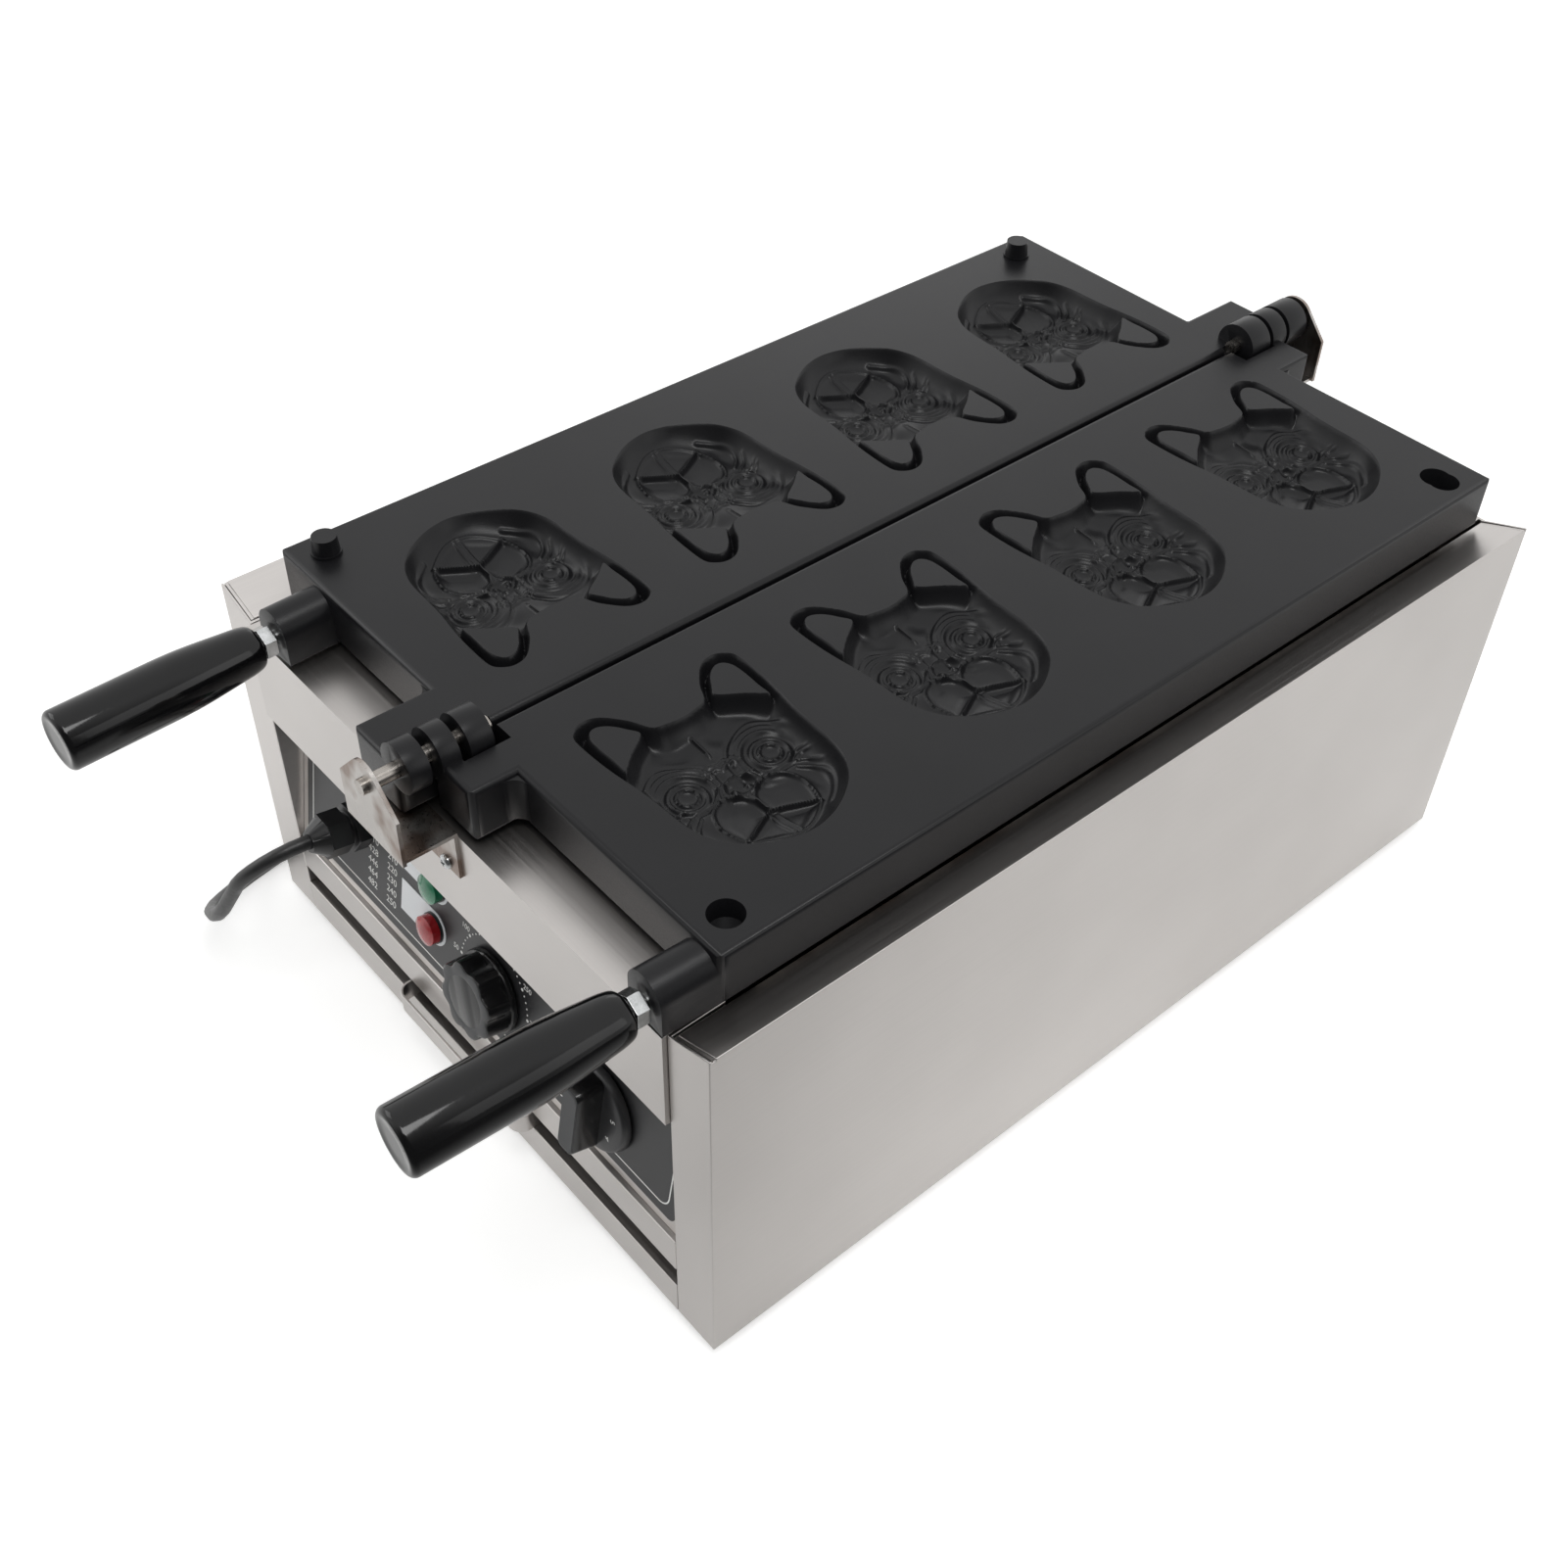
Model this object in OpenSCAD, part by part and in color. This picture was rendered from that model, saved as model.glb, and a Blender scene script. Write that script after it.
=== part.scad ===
// Countertop waffle maker with two hinged cast plates, each with four shaped cavities.
// X is the width, the front faces -Y and Z points up. The origin is on the surface that the feet
// stand on, under the middle of the machine. Lengths are in millimetres.

/* [Casing] */
// Width over the side panels
casing_w = 400; // [390:5:440]
// Depth from the front strips to the rear strips
casing_d = 570; // [566:2:640]
// Height of the side panels at their outer edge
casing_h = 222; // [218:1:250]
// Thickness of the folded stainless sheet
sheet_t = 1.5; // [1.2:0.1:2]
// Width of the strips folded in at the corners
return_w = 26.2; // [24:0.2:30]
// Width of the strips folded in along the top of the sides
top_strip_w = 25; // [20:1:28]
// How far those top strips fall towards the middle
top_fall = 9; // [7:0.5:10]
// Gap between the top strips and the corner strips
corner_gap = 2; // [1:0.5:4]
// Width of the strips folded in along the bottom of the sides
bottom_strip_w = 50; // [45:1:60]
// Depth of the folded walls beside the control panel
jamb_d = 30; // [28:1:36]
// Height of the opening between the rail and the fascia, where the controls are
window_h = 94; // [92:0.5:103]
// How far the fascia stands proud of the corner strips
fascia_proud = 2.5; // [2:0.5:4]
// How far the top of the fascia lies below the sides
fascia_drop = 9.5; // [9:0.5:11]
// Depth of the strip folded back at the top of the fascia
fascia_top_d = 36; // [34:1:38]
// Depth of the other folds of the fascia
fascia_fold = 10; // [6:1:14]
// Height of the front rail under the control panel
rail_h = 23; // [18:1:26]
// Depth of the folded top of the rail
rail_top_d = 15; // [12:1:18]
// Open slot between the tray and the rail
tray_slot = 14; // [13:0.5:20]
// Width of the upright slots in the rear cover
vent_w = 6; // [4:1:8]
// Length of those slots
vent_l = 34; // [20:1:44]
// Distance from slot to slot
vent_pitch = 14; // [12:1:18]
// Number of slots in the rear cover
vent_count = 16; // [4:2:20]

/* [Feet] */
// Height of a rubber foot
foot_h = 8; // [6:1:14]
// Diameter of a foot at the floor
foot_d = 24; // [18:1:28]
// How much wider a foot is at its top
foot_flare = 2.4; // [0:0.2:4]
// Distance from a foot's centre to the casing's sides
foot_inset = 28; // [20:1:32]

/* [Plates] */
// Distance from the casing's sides to the plates' outer edges
plate_margin = 23.35; // [20.75:0.2:26.75]
// Distance from the casing's rear to the plates' rear edges
plate_rear_gap = 9.2; // [1:0.2:14]
// Thickness of a plate
plate_t = 30; // [28:1:36]
// Gap between the two plates when they lie open
plate_gap = 2.5; // [2:0.5:5]
// Gap between the two faces when they are closed
closed_gap = 0.5; // [0.3:0.1:1]
// How far the plates' undersides lie below the tops of the sides
plate_sink = 6; // [5:0.5:6.5]
// Distance from the casing's front to the plates' front edges
plate_set_back = 24.8; // [20:0.2:26]
// Rounding of the plates' edges
plate_edge_r = 3; // [1:0.5:5]
// Rounding of the plates' corners, seen from above
plate_corner_r = 5; // [3:0.5:8]

/* [Cavities] */
// Distance from the plates' outer edges to the chins
cavity_edge = 31.65; // [29.15:0.5:39.15]
// Width of a cavity along the plate, cheek to cheek
cavity_w = 95.5; // [80:0.5:105]
// Depth of a cavity
cavity_depth = 12.5; // [9:0.5:15]
// Distance from the plate's ends to the middles of the outer cavities, without the shift
cavity_end = 74.5; // [71.5:1:82]
// Distance from the hinge axis to the ear tips
cavity_inset = 26.5; // [22:0.5:28]
// Place of the middle of the row, behind the plate's middle
cavity_shift = 3.8; // [0:0.2:6]

/* [Locating pins] */
// Diameter of a locating pin
pin_d = 13; // [10:0.5:15]
// Height of a pin above the face
pin_h = 10; // [6:0.5:11]
// Distance from the plates' outer edges to the middles of the pins
pin_edge = 17.65; // [15.65:0.5:20.65]
// Distance from the plate's front edge to the front pin
pin_front = 17.2; // [15:0.2:20]
// Distance from the plate's rear edge to the rear pin
pin_rear = 23.8; // [20:0.2:26]
// Diameter of the pins' sockets
socket_d = 17; // [16.5:0.5:19]
// Depth of the sockets
socket_depth = 11.5; // [11.5:0.5:14]
// How far the rear socket is drawn out
socket_slot = 5; // [3:0.5:8]

/* [Hinges] */
// Diameter of a hinge rod
rod_d = 8; // [6:0.5:10]
// Diameter of the knuckles
knuckle_d = 26; // [24:0.5:27]
// Radial clearance of the rods in the knuckles
rod_fit = 0.06; // [0.03:0.01:0.1]
// Clearance round a knuckle in the other plate's pocket
pocket_clear = 1.5; // [1:0.1:2]
// Reach of the left plate's front lug beyond the plate
lug_front_left = 40.8; // [38:0.2:42]
// Reach of the right plate's front lug
lug_front_right = 24.8; // [23:0.2:26]
// Reach of the left plate's rear lug
lug_rear_left = 40.2; // [39:0.2:41]
// Reach of the right plate's rear lug
lug_rear_right = 26.2; // [25:0.2:27]
// Width of the left plate's lugs
lug_w_left = 36.8; // [30:0.2:42]
// Width of the right plate's lugs
lug_w_right = 32.8; // [28:0.2:38]
// Rounding in the corners between the lugs and the plate
lug_fillet = 8; // [4:1:12]
// Lengths of the front knuckles, from the front to the back
front_knuckles = [10.5, 10, 12.5];
// Lengths of the rear knuckles, from the front to the back
rear_knuckles = [16, 12, 16];
// Gap between the middle front knuckle and the one behind it
front_knuckle_gap = 5; // [3:0.5:6]
// Gap between the rear knuckles
rear_knuckle_gap = 3; // [2:0.5:4]
// Length of a pocket beyond its knuckle
pocket_end = 7.5; // [4:0.5:10]
// Thickness of a hinge bracket
bracket_t = 2; // [1.5:0.25:2.5]
// Width of a bracket where it meets the casing
bracket_foot_w = 44; // [40:1:50]
// Width of a bracket's upright
bracket_w = 47; // [44:1:52]
// Height of the bracket's foot on the casing
bracket_foot_h = 26.5; // [24:0.5:32]
// Distance from the fascia to the outside of the front upright
bracket_reach_front = 29.5; // [29:0.5:34]
// Distance from the rear cover to the outside of the rear upright
bracket_reach_rear = 43.5; // [42.5:0.5:48]
// How far a bracket's shoulder lies below the hinge axis
shoulder_drop = 7; // [4:0.5:10]
// Diameter of a bracket's round head
bracket_head_d = 25; // [20:0.5:28]

/* [Handles] */
// Length of a handle's grip
handle_l = 106; // [90:1:120]
// Diameter of a grip at its thick end
handle_d = 31; // [27:0.5:33]
// Diameter of a grip at its root
handle_root_d = 23.5; // [20:0.5:26]
// Angle at which the handles lean towards the middle
handle_splay = 2.5; // [0:0.5:4]
// Width of the bosses that carry the handles
boss_w = 24; // [22:0.5:28]
// Reach of a boss beyond the plate's front edge
boss_reach = 27.8; // [24:0.2:30]
// Height of a boss
boss_h = 27; // [25:0.5:28]
// Height of the handle's axis over the plate's underside
handle_rise = 11; // [10:0.5:13]
// Distance from the plate's outer edge to the right handle's axis
handle_edge_right = 14.65; // [13.65:0.5:15.65]
// Distance from the plate's outer edge to the left handle's axis
handle_edge_left = 38.65; // [37.65:0.5:39.65]
// Diameter of the threaded stud
stud_d = 8; // [6:0.5:8.5]
// Width across the flats of the locknut
locknut_af = 15; // [13:0.5:17]
// Height of the locknut
locknut_h = 6.5; // [4:0.5:7]

/* [Drip tray] */
// Length of the tray
tray_l = 500; // [400:5:520]
// Height of the tray's front
tray_front_h = 22; // [20:0.5:26]
// Height of the tray's walls
tray_wall_h = 14; // [10:0.5:15]
// Depth of the lip folded back at the top of the front
tray_lip_d = 11; // [9:0.5:14]
// Width of the pull strap
pull_w = 115; // [90:1:130]
// Height of the pull strap
pull_h = 13; // [10:0.5:13.5]
// How far the strap stands out
pull_reach = 9.5; // [8:0.5:14]
// Rounding of the strap's corners
pull_r = 8; // [5:0.5:8]
// Place of the strap's middle, left of the tray's middle
pull_shift = 4.5; // [0:0.5:10]

/* [Control panel] */
// Lean of the panel towards the back
panel_tilt = 10; // [8:0.5:11]
// Distance from the casing's front to the foot of the panel
panel_set_back = 2.5; // [2:0.5:4]
// Distance from the panel's side edges to the printed overlay
overlay_edge = 5; // [3:0.5:8]
// Height of the controls over the rail
control_rise = 33; // [30:1:36]
// Height of the upper lamp over the rail
lamp_rise = 61; // [58:1:64]
// Height of the cable gland over the rail
gland_rise = 50; // [48:1:52]
// Place of the thermostat, right of the middle
thermostat_x = 15.5; // [10:0.5:20]
// Place of the timer, right of the middle
timer_x = 107; // [100:0.5:112]
// Place of the lamps, left of the middle
lamp_x = 38.4; // [34:0.2:42]
// Place of the cable gland, left of the middle
gland_x = 112; // [108:0.5:116]
// Diameter of a lamp
lamp_d = 17.6; // [14:0.2:20]
// Size of the white plates beside the lamps
lamp_plate = [42, 21];

/* [Knobs] */
// Diameter of the thermostat's knob
thermostat_knob_d = 46; // [38:1:50]
// Height of the thermostat's knob
thermostat_knob_h = 16.5; // [12:0.5:20]
// Number of finger hollows round that knob
scallop_count = 8; // [6:1:12]
// Diameter of the timer's skirt
timer_skirt_d = 48.5; // [40:0.5:52]
// Width of the timer's grip
timer_grip_w = 13; // [8:0.5:16]
// Height of the timer's knob
timer_knob_h = 20; // [14:0.5:24]
// Diameter of the control shafts
shaft_d = 6; // [4:0.5:8]

/* [Heating] */
// Distance from the casing's sides to the heat chamber
chamber_gap_side = 35; // [33:1:45]
// Distance from the casing's front to the heat chamber
chamber_gap_front = 53; // [50:1:56]
// Distance from the casing's rear to the heat chamber
chamber_gap_rear = 30; // [24:1:36]
// Height of the heat chamber's floor over the casing's bottom
chamber_floor_z = 60; // [56:1:80]
// Width of the chamber's rim
chamber_rim = 6; // [4:0.5:6]
// Diameter of a tubular heating element
heater_d = 8; // [6:0.5:8.5]
// Distance between the element's straight legs
heater_pitch = 40; // [36:1:41]
// Depth of the element's axis under the plates
heater_drop = 21; // [15:1:26]

/* [Cord] */
// Diameter of the mains cord
cord_d = 8; // [7:0.5:8]
// Distance between turns of the coil
coil_pitch = 8.6; // [8.5:0.1:10]
// Radius of the middle of the coil's turns
coil_r = 44; // [43:1:50]
// Number of turns in the coil
coil_turns = 5; // [3:2:7]

/* [Hidden] */
$fn = 48;

// Clearance between seated pieces
seat_gap = 0.3;
// Radial clearance of fixed pins, screws and shafts
pin_fit = 0.05;
// Overrun of a cut beyond the face that it leaves
cut = 1;

// Heights and faces of the casing, from the casing's bottom
half_w = casing_w / 2;
front_y = -casing_d / 2;
rear_y = casing_d / 2;
plate_z = casing_h - plate_sink;
face_z = plate_z + plate_t;
axis_z = face_z + closed_gap / 2;
strip_z = casing_h - top_fall;
fascia_z = casing_h - fascia_drop;
fascia_y = front_y - fascia_proud;
rail_z = tray_front_h + tray_slot;
rail_top = rail_z + rail_h;
fascia_h = fascia_z - rail_top - window_h;
jamb_x = half_w - return_w - sheet_t;
front_half = jamb_x - seat_gap;
pan_z = sheet_t + seat_gap;
pan_top = pan_z + sheet_t;

// Plate edges
plate_x = plate_gap / 2;
plate_y0 = front_y + plate_set_back;
plate_y1 = rear_y - plate_rear_gap;
plate_l = plate_y1 - plate_y0;
plate_end_x = half_w - plate_margin;
plate_w = plate_end_x - plate_x;
handle_x_right = plate_end_x - handle_edge_right;
handle_x_left = plate_end_x - handle_edge_left;
pin_x = plate_end_x - pin_edge;

// Row of cavities
cavity_count = 4;
cavity_l = plate_end_x - cavity_inset - cavity_edge;
cavity_pitch = (plate_l - 2 * cavity_end) / (cavity_count - 1);

// The object's front and rear ends, which set the place of the origin
grip_gap = 0.5;
nut_gap = 2;
grip_bevel = 2;
grip_tip_r = handle_d / 2 - grip_bevel;
grip_start = nut_gap + locknut_h + grip_gap;
stud_z = plate_z + handle_rise;
boss_y = plate_y0 - boss_reach;
front_end = boss_y - (grip_start + handle_l) * cos(handle_splay)
    - grip_tip_r * sin(handle_splay);
rear_end = max(rear_y + sheet_t + bracket_reach_rear, plate_y1 + lug_rear_left);
rod_out = 3;
shift_y = -(front_end + rear_end + rod_out) / 2;

// Moves the casing's frame to the object's frame
module place() {
    translate([0, shift_y, foot_h]) children();
}

// Box between two corners
module box(a, b) {
    translate(a) cube(b - a);
}

// Rectangle with round corners, from the origin to its size
module round_rect(size, r) {
    translate([r, 0]) square([size.x - 2 * r, size.y]);
    translate([0, r]) square([size.x, size.y - 2 * r]);
    for (x = [r, size.x - r])
        for (y = [r, size.y - r])
            translate([x, y]) circle(r);
}

// Block with round edges, and other corners seen from above
module soft_box(a, b, edge_r, corner_r) {
    s = b - a;
    translate(a) intersection() {
        linear_extrude(s.z) round_rect([s.x, s.y], corner_r);
        translate([0, s.y, 0]) rotate([90, 0, 0])
            linear_extrude(s.y) round_rect([s.x, s.z], edge_r);
        rotate([90, 0, 90]) linear_extrude(s.x) round_rect([s.y, s.z], edge_r);
    }
}

// Pan-head screw with its head's underside at the origin, pointing down
module screw(head_d, head_h, shank_d, shank_l) {
    translate([0, 0, -shank_l]) cylinder(h = shank_l + head_h / 2, d = shank_d);
    difference() {
        cylinder(h = head_h, d = head_d);
        translate([0, 0, head_h]) {
            cube([head_d / 2, head_h / 2, head_h], center = true);
            cube([head_h / 2, head_d / 2, head_h], center = true);
        }
    }
}

// Hexagonal nut blank, given across its flats
module hex(af, h) {
    cylinder(h = h, d = af / cos(30), $fn = 6);
}

// Place on the control panel: x across, rise over the rail, with Z pointing out of the panel
function panel_y(rise) = front_y + panel_set_back + rise * tan(panel_tilt);
module at_panel(x, rise) {
    translate([x, panel_y(rise), rail_top + rise]) rotate([90 - panel_tilt, 0, 0]) children();
}
// A point in the casing's frame, from the same place, height along the panel and depth
function panel_point(x, rise, up, out) = [
    x,
    panel_y(rise) + up * sin(panel_tilt) - out * cos(panel_tilt),
    rail_top + rise + up * cos(panel_tilt) + out * sin(panel_tilt)
];

// A swept tube: each ring stands square to the route, in the halfway plane at a bend
function unit(v) = v / norm(v);
function route_dir(p, i) =
    i == 0 ? unit(p[1] - p[0])
    : i == len(p) - 1 ? unit(p[i] - p[i - 1])
    : unit(unit(p[i + 1] - p[i]) + unit(p[i] - p[i - 1]));
function ring(c, t, r, sides) =
    let (a = unit(cross(t, abs(t.z) > 0.9 ? [0, 1, 0] : [0, 0, 1])), b = cross(a, t))
    [for (k = [0:sides - 1])
        c + r * (a * cos((k + 0.5) * 360 / sides) + b * sin((k + 0.5) * 360 / sides))];
module tube(p, r, sides) {
    n = len(p);
    points = [for (i = [0:n - 1]) for (q = ring(p[i], route_dir(p, i), r, sides)) q];
    walls = [for (i = [0:n - 2]) for (k = [0:sides - 1]) for (half = [0, 1])
        let (m = (k + 1) % sides, a = i * sides, b = a + sides)
        half == 0 ? [a + k, b + m, b + k] : [a + k, a + m, b + m]];
    start = [for (k = [1:sides - 2]) [0, k + 1, k]];
    end = [for (k = [1:sides - 2])
        [(n - 1) * sides, (n - 1) * sides + k, (n - 1) * sides + k + 1]];
    polyhedron(points, concat(walls, start, end));
}

// Side panels

// The left side is drawn and the right one mirrors it
module side_panel() {
    strip_in = half_w - top_strip_w;
    return_in = half_w - return_w;
    // wall, bottom strip and sloping top strip
    translate([0, rear_y - sheet_t - corner_gap, 0]) rotate([90, 0, 0])
        linear_extrude(casing_d - 2 * (sheet_t + corner_gap))
            polygon([
                [-half_w, 0], [-half_w, casing_h], [-strip_in, strip_z],
                [-strip_in, strip_z - sheet_t], [-half_w + sheet_t, casing_h - 2 * sheet_t],
                [-half_w + sheet_t, sheet_t], [-half_w + bottom_strip_w, sheet_t],
                [-half_w + bottom_strip_w, 0]
            ]);
    box([-half_w, front_y, 0], [-half_w + sheet_t, rear_y, casing_h - sheet_t]);
    // corner strips with sloping tops
    for (y = [front_y + sheet_t, rear_y])
        translate([0, y, 0]) rotate([90, 0, 0]) linear_extrude(sheet_t)
            polygon([
                [-half_w, 0], [-half_w, casing_h], [-return_in, strip_z], [-return_in, 0]
            ]);
    // wall beside the control panel
    box([-return_in, front_y, 0], [-jamb_x, front_y + jamb_d, strip_z]);
    box([-return_in - sheet_t, front_y, 0], [-jamb_x, front_y + sheet_t, strip_z]);
}
module side_panel_left() {
    color("#c9c7c4") place() side_panel();
}
module side_panel_right() {
    color("#c9c7c4") place() mirror([1, 0, 0]) side_panel();
}

// Front

bracket_screw_d = 4;
bracket_screw_x = 12;
bracket_screw_z = 22.5;
module bracket_screw_holes(y, depth) {
    for (x = [-bracket_screw_x, bracket_screw_x])
        translate([x, y, fascia_z - bracket_screw_z]) rotate([90, 0, 0])
            cylinder(h = depth, r = bracket_screw_d / 2 + pin_fit);
}

module front_fascia() {
    fascia_bottom = fascia_z - fascia_h;
    color("#cfccc8") place() difference() {
        union() {
            box([-front_half, fascia_y, fascia_bottom],
                [front_half, fascia_y + sheet_t, fascia_z]);
            box([-front_half, fascia_y, fascia_z - sheet_t],
                [front_half, fascia_y + fascia_top_d, fascia_z]);
            box([-front_half, fascia_y, fascia_bottom],
                [front_half, fascia_y + fascia_fold, fascia_bottom + sheet_t]);
            for (x = [-front_half, front_half - sheet_t])
                box([x, fascia_y, fascia_bottom],
                    [x + sheet_t, fascia_y + fascia_fold, fascia_z]);
        }
        bracket_screw_holes(fascia_y + sheet_t + cut, sheet_t + 2 * cut);
    }
}

module front_rail() {
    rail_fold_d = rail_top_d - 2 * sheet_t;
    color("#c4c1bd") place() {
        box([-front_half, front_y, rail_z], [front_half, front_y + sheet_t, rail_top]);
        box([-front_half, front_y, rail_top - sheet_t],
            [front_half, front_y + rail_top_d, rail_top]);
        box([-front_half, front_y, rail_z],
            [front_half, front_y + rail_fold_d, rail_z + sheet_t]);
    }
}

// Control panel, with the holes that it shares with its overlay

overlay_t = 0.4;
lamp_hole_d = 12;
gland_thread_d = 16;
shaft_hole_d = shaft_d + 2;
panel_out = -overlay_t;
panel_in = panel_out - sheet_t;
panel_low = seat_gap - panel_in * sin(panel_tilt);
panel_high = fascia_z - sheet_t - seat_gap - rail_top;
overlay_low = 5.5;
overlay_high = fascia_z - fascia_h + fascia_fold - rail_top;

module panel_holes() {
    depth = sheet_t + overlay_t + 2 * cut;
    for (x = [thermostat_x, timer_x])
        at_panel(x, control_rise) translate([0, 0, panel_in - cut])
            cylinder(h = depth, d = shaft_hole_d);
    for (rise = [control_rise, lamp_rise])
        at_panel(-lamp_x, rise) translate([0, 0, panel_in - cut])
            cylinder(h = depth, r = lamp_hole_d / 2 + pin_fit);
    at_panel(-gland_x, gland_rise) translate([0, 0, panel_in - cut])
        cylinder(h = depth, r = gland_thread_d / 2 + pin_fit);
}

module control_panel() {
    color("#8d8b88") place() difference() {
        at_panel(0, panel_low)
            box([-front_half, 0, panel_in],
                [front_half, (panel_high - panel_low) / cos(panel_tilt), panel_out]);
        panel_holes();
    }
}

module panel_overlay() {
    half = front_half - overlay_edge;
    r = overlay_edge;
    color("#4d4d4f") place() difference() {
        at_panel(0, overlay_low) translate([-half, 0, panel_out]) linear_extrude(overlay_t)
            round_rect([2 * half, (overlay_high - overlay_low) / cos(panel_tilt)], r);
        panel_holes();
    }
}

// White plates, one beside each lamp
plate_film_t = 0.3;
module lamp_plates() {
    color("#f0f0ee") place() for (rise = [control_rise, lamp_rise])
        at_panel(-lamp_x, rise) difference() {
            linear_extrude(plate_film_t) {
                circle(lamp_plate.y / 2);
                translate([lamp_plate.y / 2 - lamp_plate.x, -lamp_plate.y / 2])
                    square([lamp_plate.x - lamp_plate.y / 2, lamp_plate.y]);
            }
            translate([0, 0, -cut])
                cylinder(h = plate_film_t + 2 * cut, r = lamp_hole_d / 2 + pin_fit);
        }
}

// Rear cover

cover_half = half_w - return_w / 2;
cover_screw_x = half_w - return_w * 2 / 3;
cover_screw_shares = [0.15, 0.5, 0.85];
cover_screw_d = 3.5;
module back_cover() {
    vent_z = fascia_z / 3;
    color("#c4c1bd") place() difference() {
        union() {
            box([-cover_half, rear_y, 0], [cover_half, rear_y + sheet_t, fascia_z]);
            box([-front_half, chamber_y1 + seat_gap, fascia_z - sheet_t],
                [front_half, rear_y + sheet_t, fascia_z]);
        }
        for (i = [0:vent_count - 1])
            translate([(i - (vent_count - 1) / 2) * vent_pitch, rear_y, vent_z])
                box([-vent_w / 2, -cut, 0], [vent_w / 2, sheet_t + cut, vent_l]);
        for (x = [-cover_screw_x, cover_screw_x])
            for (share = cover_screw_shares)
                translate([x, rear_y + sheet_t + cut, share * fascia_z]) rotate([90, 0, 0])
                    cylinder(h = sheet_t + 2 * cut, r = cover_screw_d / 2 + pin_fit);
        bracket_screw_holes(rear_y + sheet_t + cut, sheet_t + 2 * cut);
    }
}

module back_screws() {
    color("#b5b5b5") place()
        for (x = [-cover_screw_x, cover_screw_x])
            for (share = cover_screw_shares)
                translate([x, rear_y + sheet_t, share * fascia_z]) rotate([-90, 0, 0])
                    screw(2 * cover_screw_d, cover_screw_d / 2, cover_screw_d, sheet_t);
}

// Bottom

module base_pan() {
    pan_half = half_w - sheet_t - seat_gap;
    color("#a9a8a6") place()
        box([-pan_half, front_y + jamb_d + seat_gap, pan_z],
            [pan_half, rear_y - sheet_t - corner_gap, pan_top]);
}

module rubber_feet() {
    color("#1b1b1b") place()
        for (x = [-half_w + foot_inset, half_w - foot_inset])
            for (y = [front_y + foot_inset, rear_y - foot_inset])
                translate([x, y, -foot_h])
                    cylinder(h = foot_h, d1 = foot_d, d2 = foot_d + foot_flare, $fn = 64);
}

// Drip tray

tray_side_clear = 4;
tray_half = front_half - tray_side_clear;
tray_z = pan_top + seat_gap;
runner_h = 9;
runner_w = 11;
runner_clear = 0.5;

module tray_runners() {
    y0 = front_y + jamb_d + 2 * seat_gap;
    y1 = front_y + tray_l;
    for (side = [0, 1])
        color("#a9a8a6") place() mirror([side, 0, 0]) {
            x0 = tray_half + runner_clear;
            box([x0, y0, pan_top], [x0 + sheet_t, y1, pan_top + runner_h]);
            box([x0, y0, pan_top], [x0 + runner_w, y1, pan_top + sheet_t]);
        }
}

module tray() {
    color("#c9c7c4") place() {
        box([-front_half, front_y, 0], [front_half, front_y + sheet_t, tray_front_h]);
        box([-front_half, front_y, tray_front_h - sheet_t],
            [front_half, front_y + tray_lip_d, tray_front_h]);
        difference() {
            box([-tray_half, front_y, tray_z],
                [tray_half, front_y + tray_l, tray_z + tray_wall_h]);
            box([-tray_half + sheet_t, front_y + sheet_t, tray_z + sheet_t],
                [tray_half - sheet_t, front_y + tray_l - sheet_t, tray_z + tray_wall_h + cut]);
        }
    }
}

// Strap bent to a U, standing on the tray's lip
module tray_pull() {
    strap_d = pull_reach + tray_lip_d - sheet_t;
    color("#bdbab6") place()
        translate([-pull_shift - pull_w / 2, front_y - pull_reach, tray_front_h])
            linear_extrude(pull_h) difference() {
                intersection() {
                    round_rect([pull_w, 2 * strap_d], pull_r);
                    square([pull_w, strap_d]);
                }
                translate([sheet_t, sheet_t])
                    round_rect([pull_w - 2 * sheet_t, 2 * strap_d], pull_r - sheet_t);
            }
}

// Heat chamber

chamber_half = half_w - chamber_gap_side;
chamber_y0 = front_y + chamber_gap_front;
chamber_y1 = rear_y - chamber_gap_rear;
chamber_top = plate_z - seat_gap;
heater_z = plate_z - heater_drop;
heater_first = 25;
heater_legs = 4;
heater_bulb_d = 6;

module chamber() {
    inset = [sheet_t, sheet_t, 0];
    low = [-chamber_half, chamber_y0, chamber_floor_z];
    high = [chamber_half, chamber_y1, chamber_top];
    rim = [chamber_rim, chamber_rim, 0];
    color("#9b9a98") place() difference() {
        union() {
            box(low, high);
            box([low.x, low.y, high.z - sheet_t] - rim, high + rim);
        }
        box(low + inset + [0, 0, sheet_t], high - inset + [0, 0, cut]);
        for (side = [-1, 1])
            for (leg = [0, heater_legs - 1])
                translate([side * (heater_first + leg * heater_pitch), low.y - cut, heater_z])
                    rotate([-90, 0, 0])
                        cylinder(h = sheet_t + 2 * cut, r = heater_d / 2 + pin_fit);
        translate([0, low.y - cut, heater_z]) rotate([-90, 0, 0])
            cylinder(h = sheet_t + 2 * cut, r = heater_bulb_d / 2 + pin_fit);
    }
}

bearer_shares = [0.2, 0.8];
bearer_w = 25;
module chamber_bearers() {
    bearer_h = 18;
    half = half_w - sheet_t - seat_gap;
    top = chamber_floor_z - seat_gap;
    color("#a9a8a6") place() for (share = bearer_shares) {
        y = chamber_y0 + share * (chamber_y1 - chamber_y0);
        difference() {
            box([-half, y, top - bearer_h], [half, y + bearer_w, top]);
            box([-half - cut, y + sheet_t, top - bearer_h - cut],
                [half + cut, y + bearer_w - sheet_t, top - sheet_t]);
        }
    }
}

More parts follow.
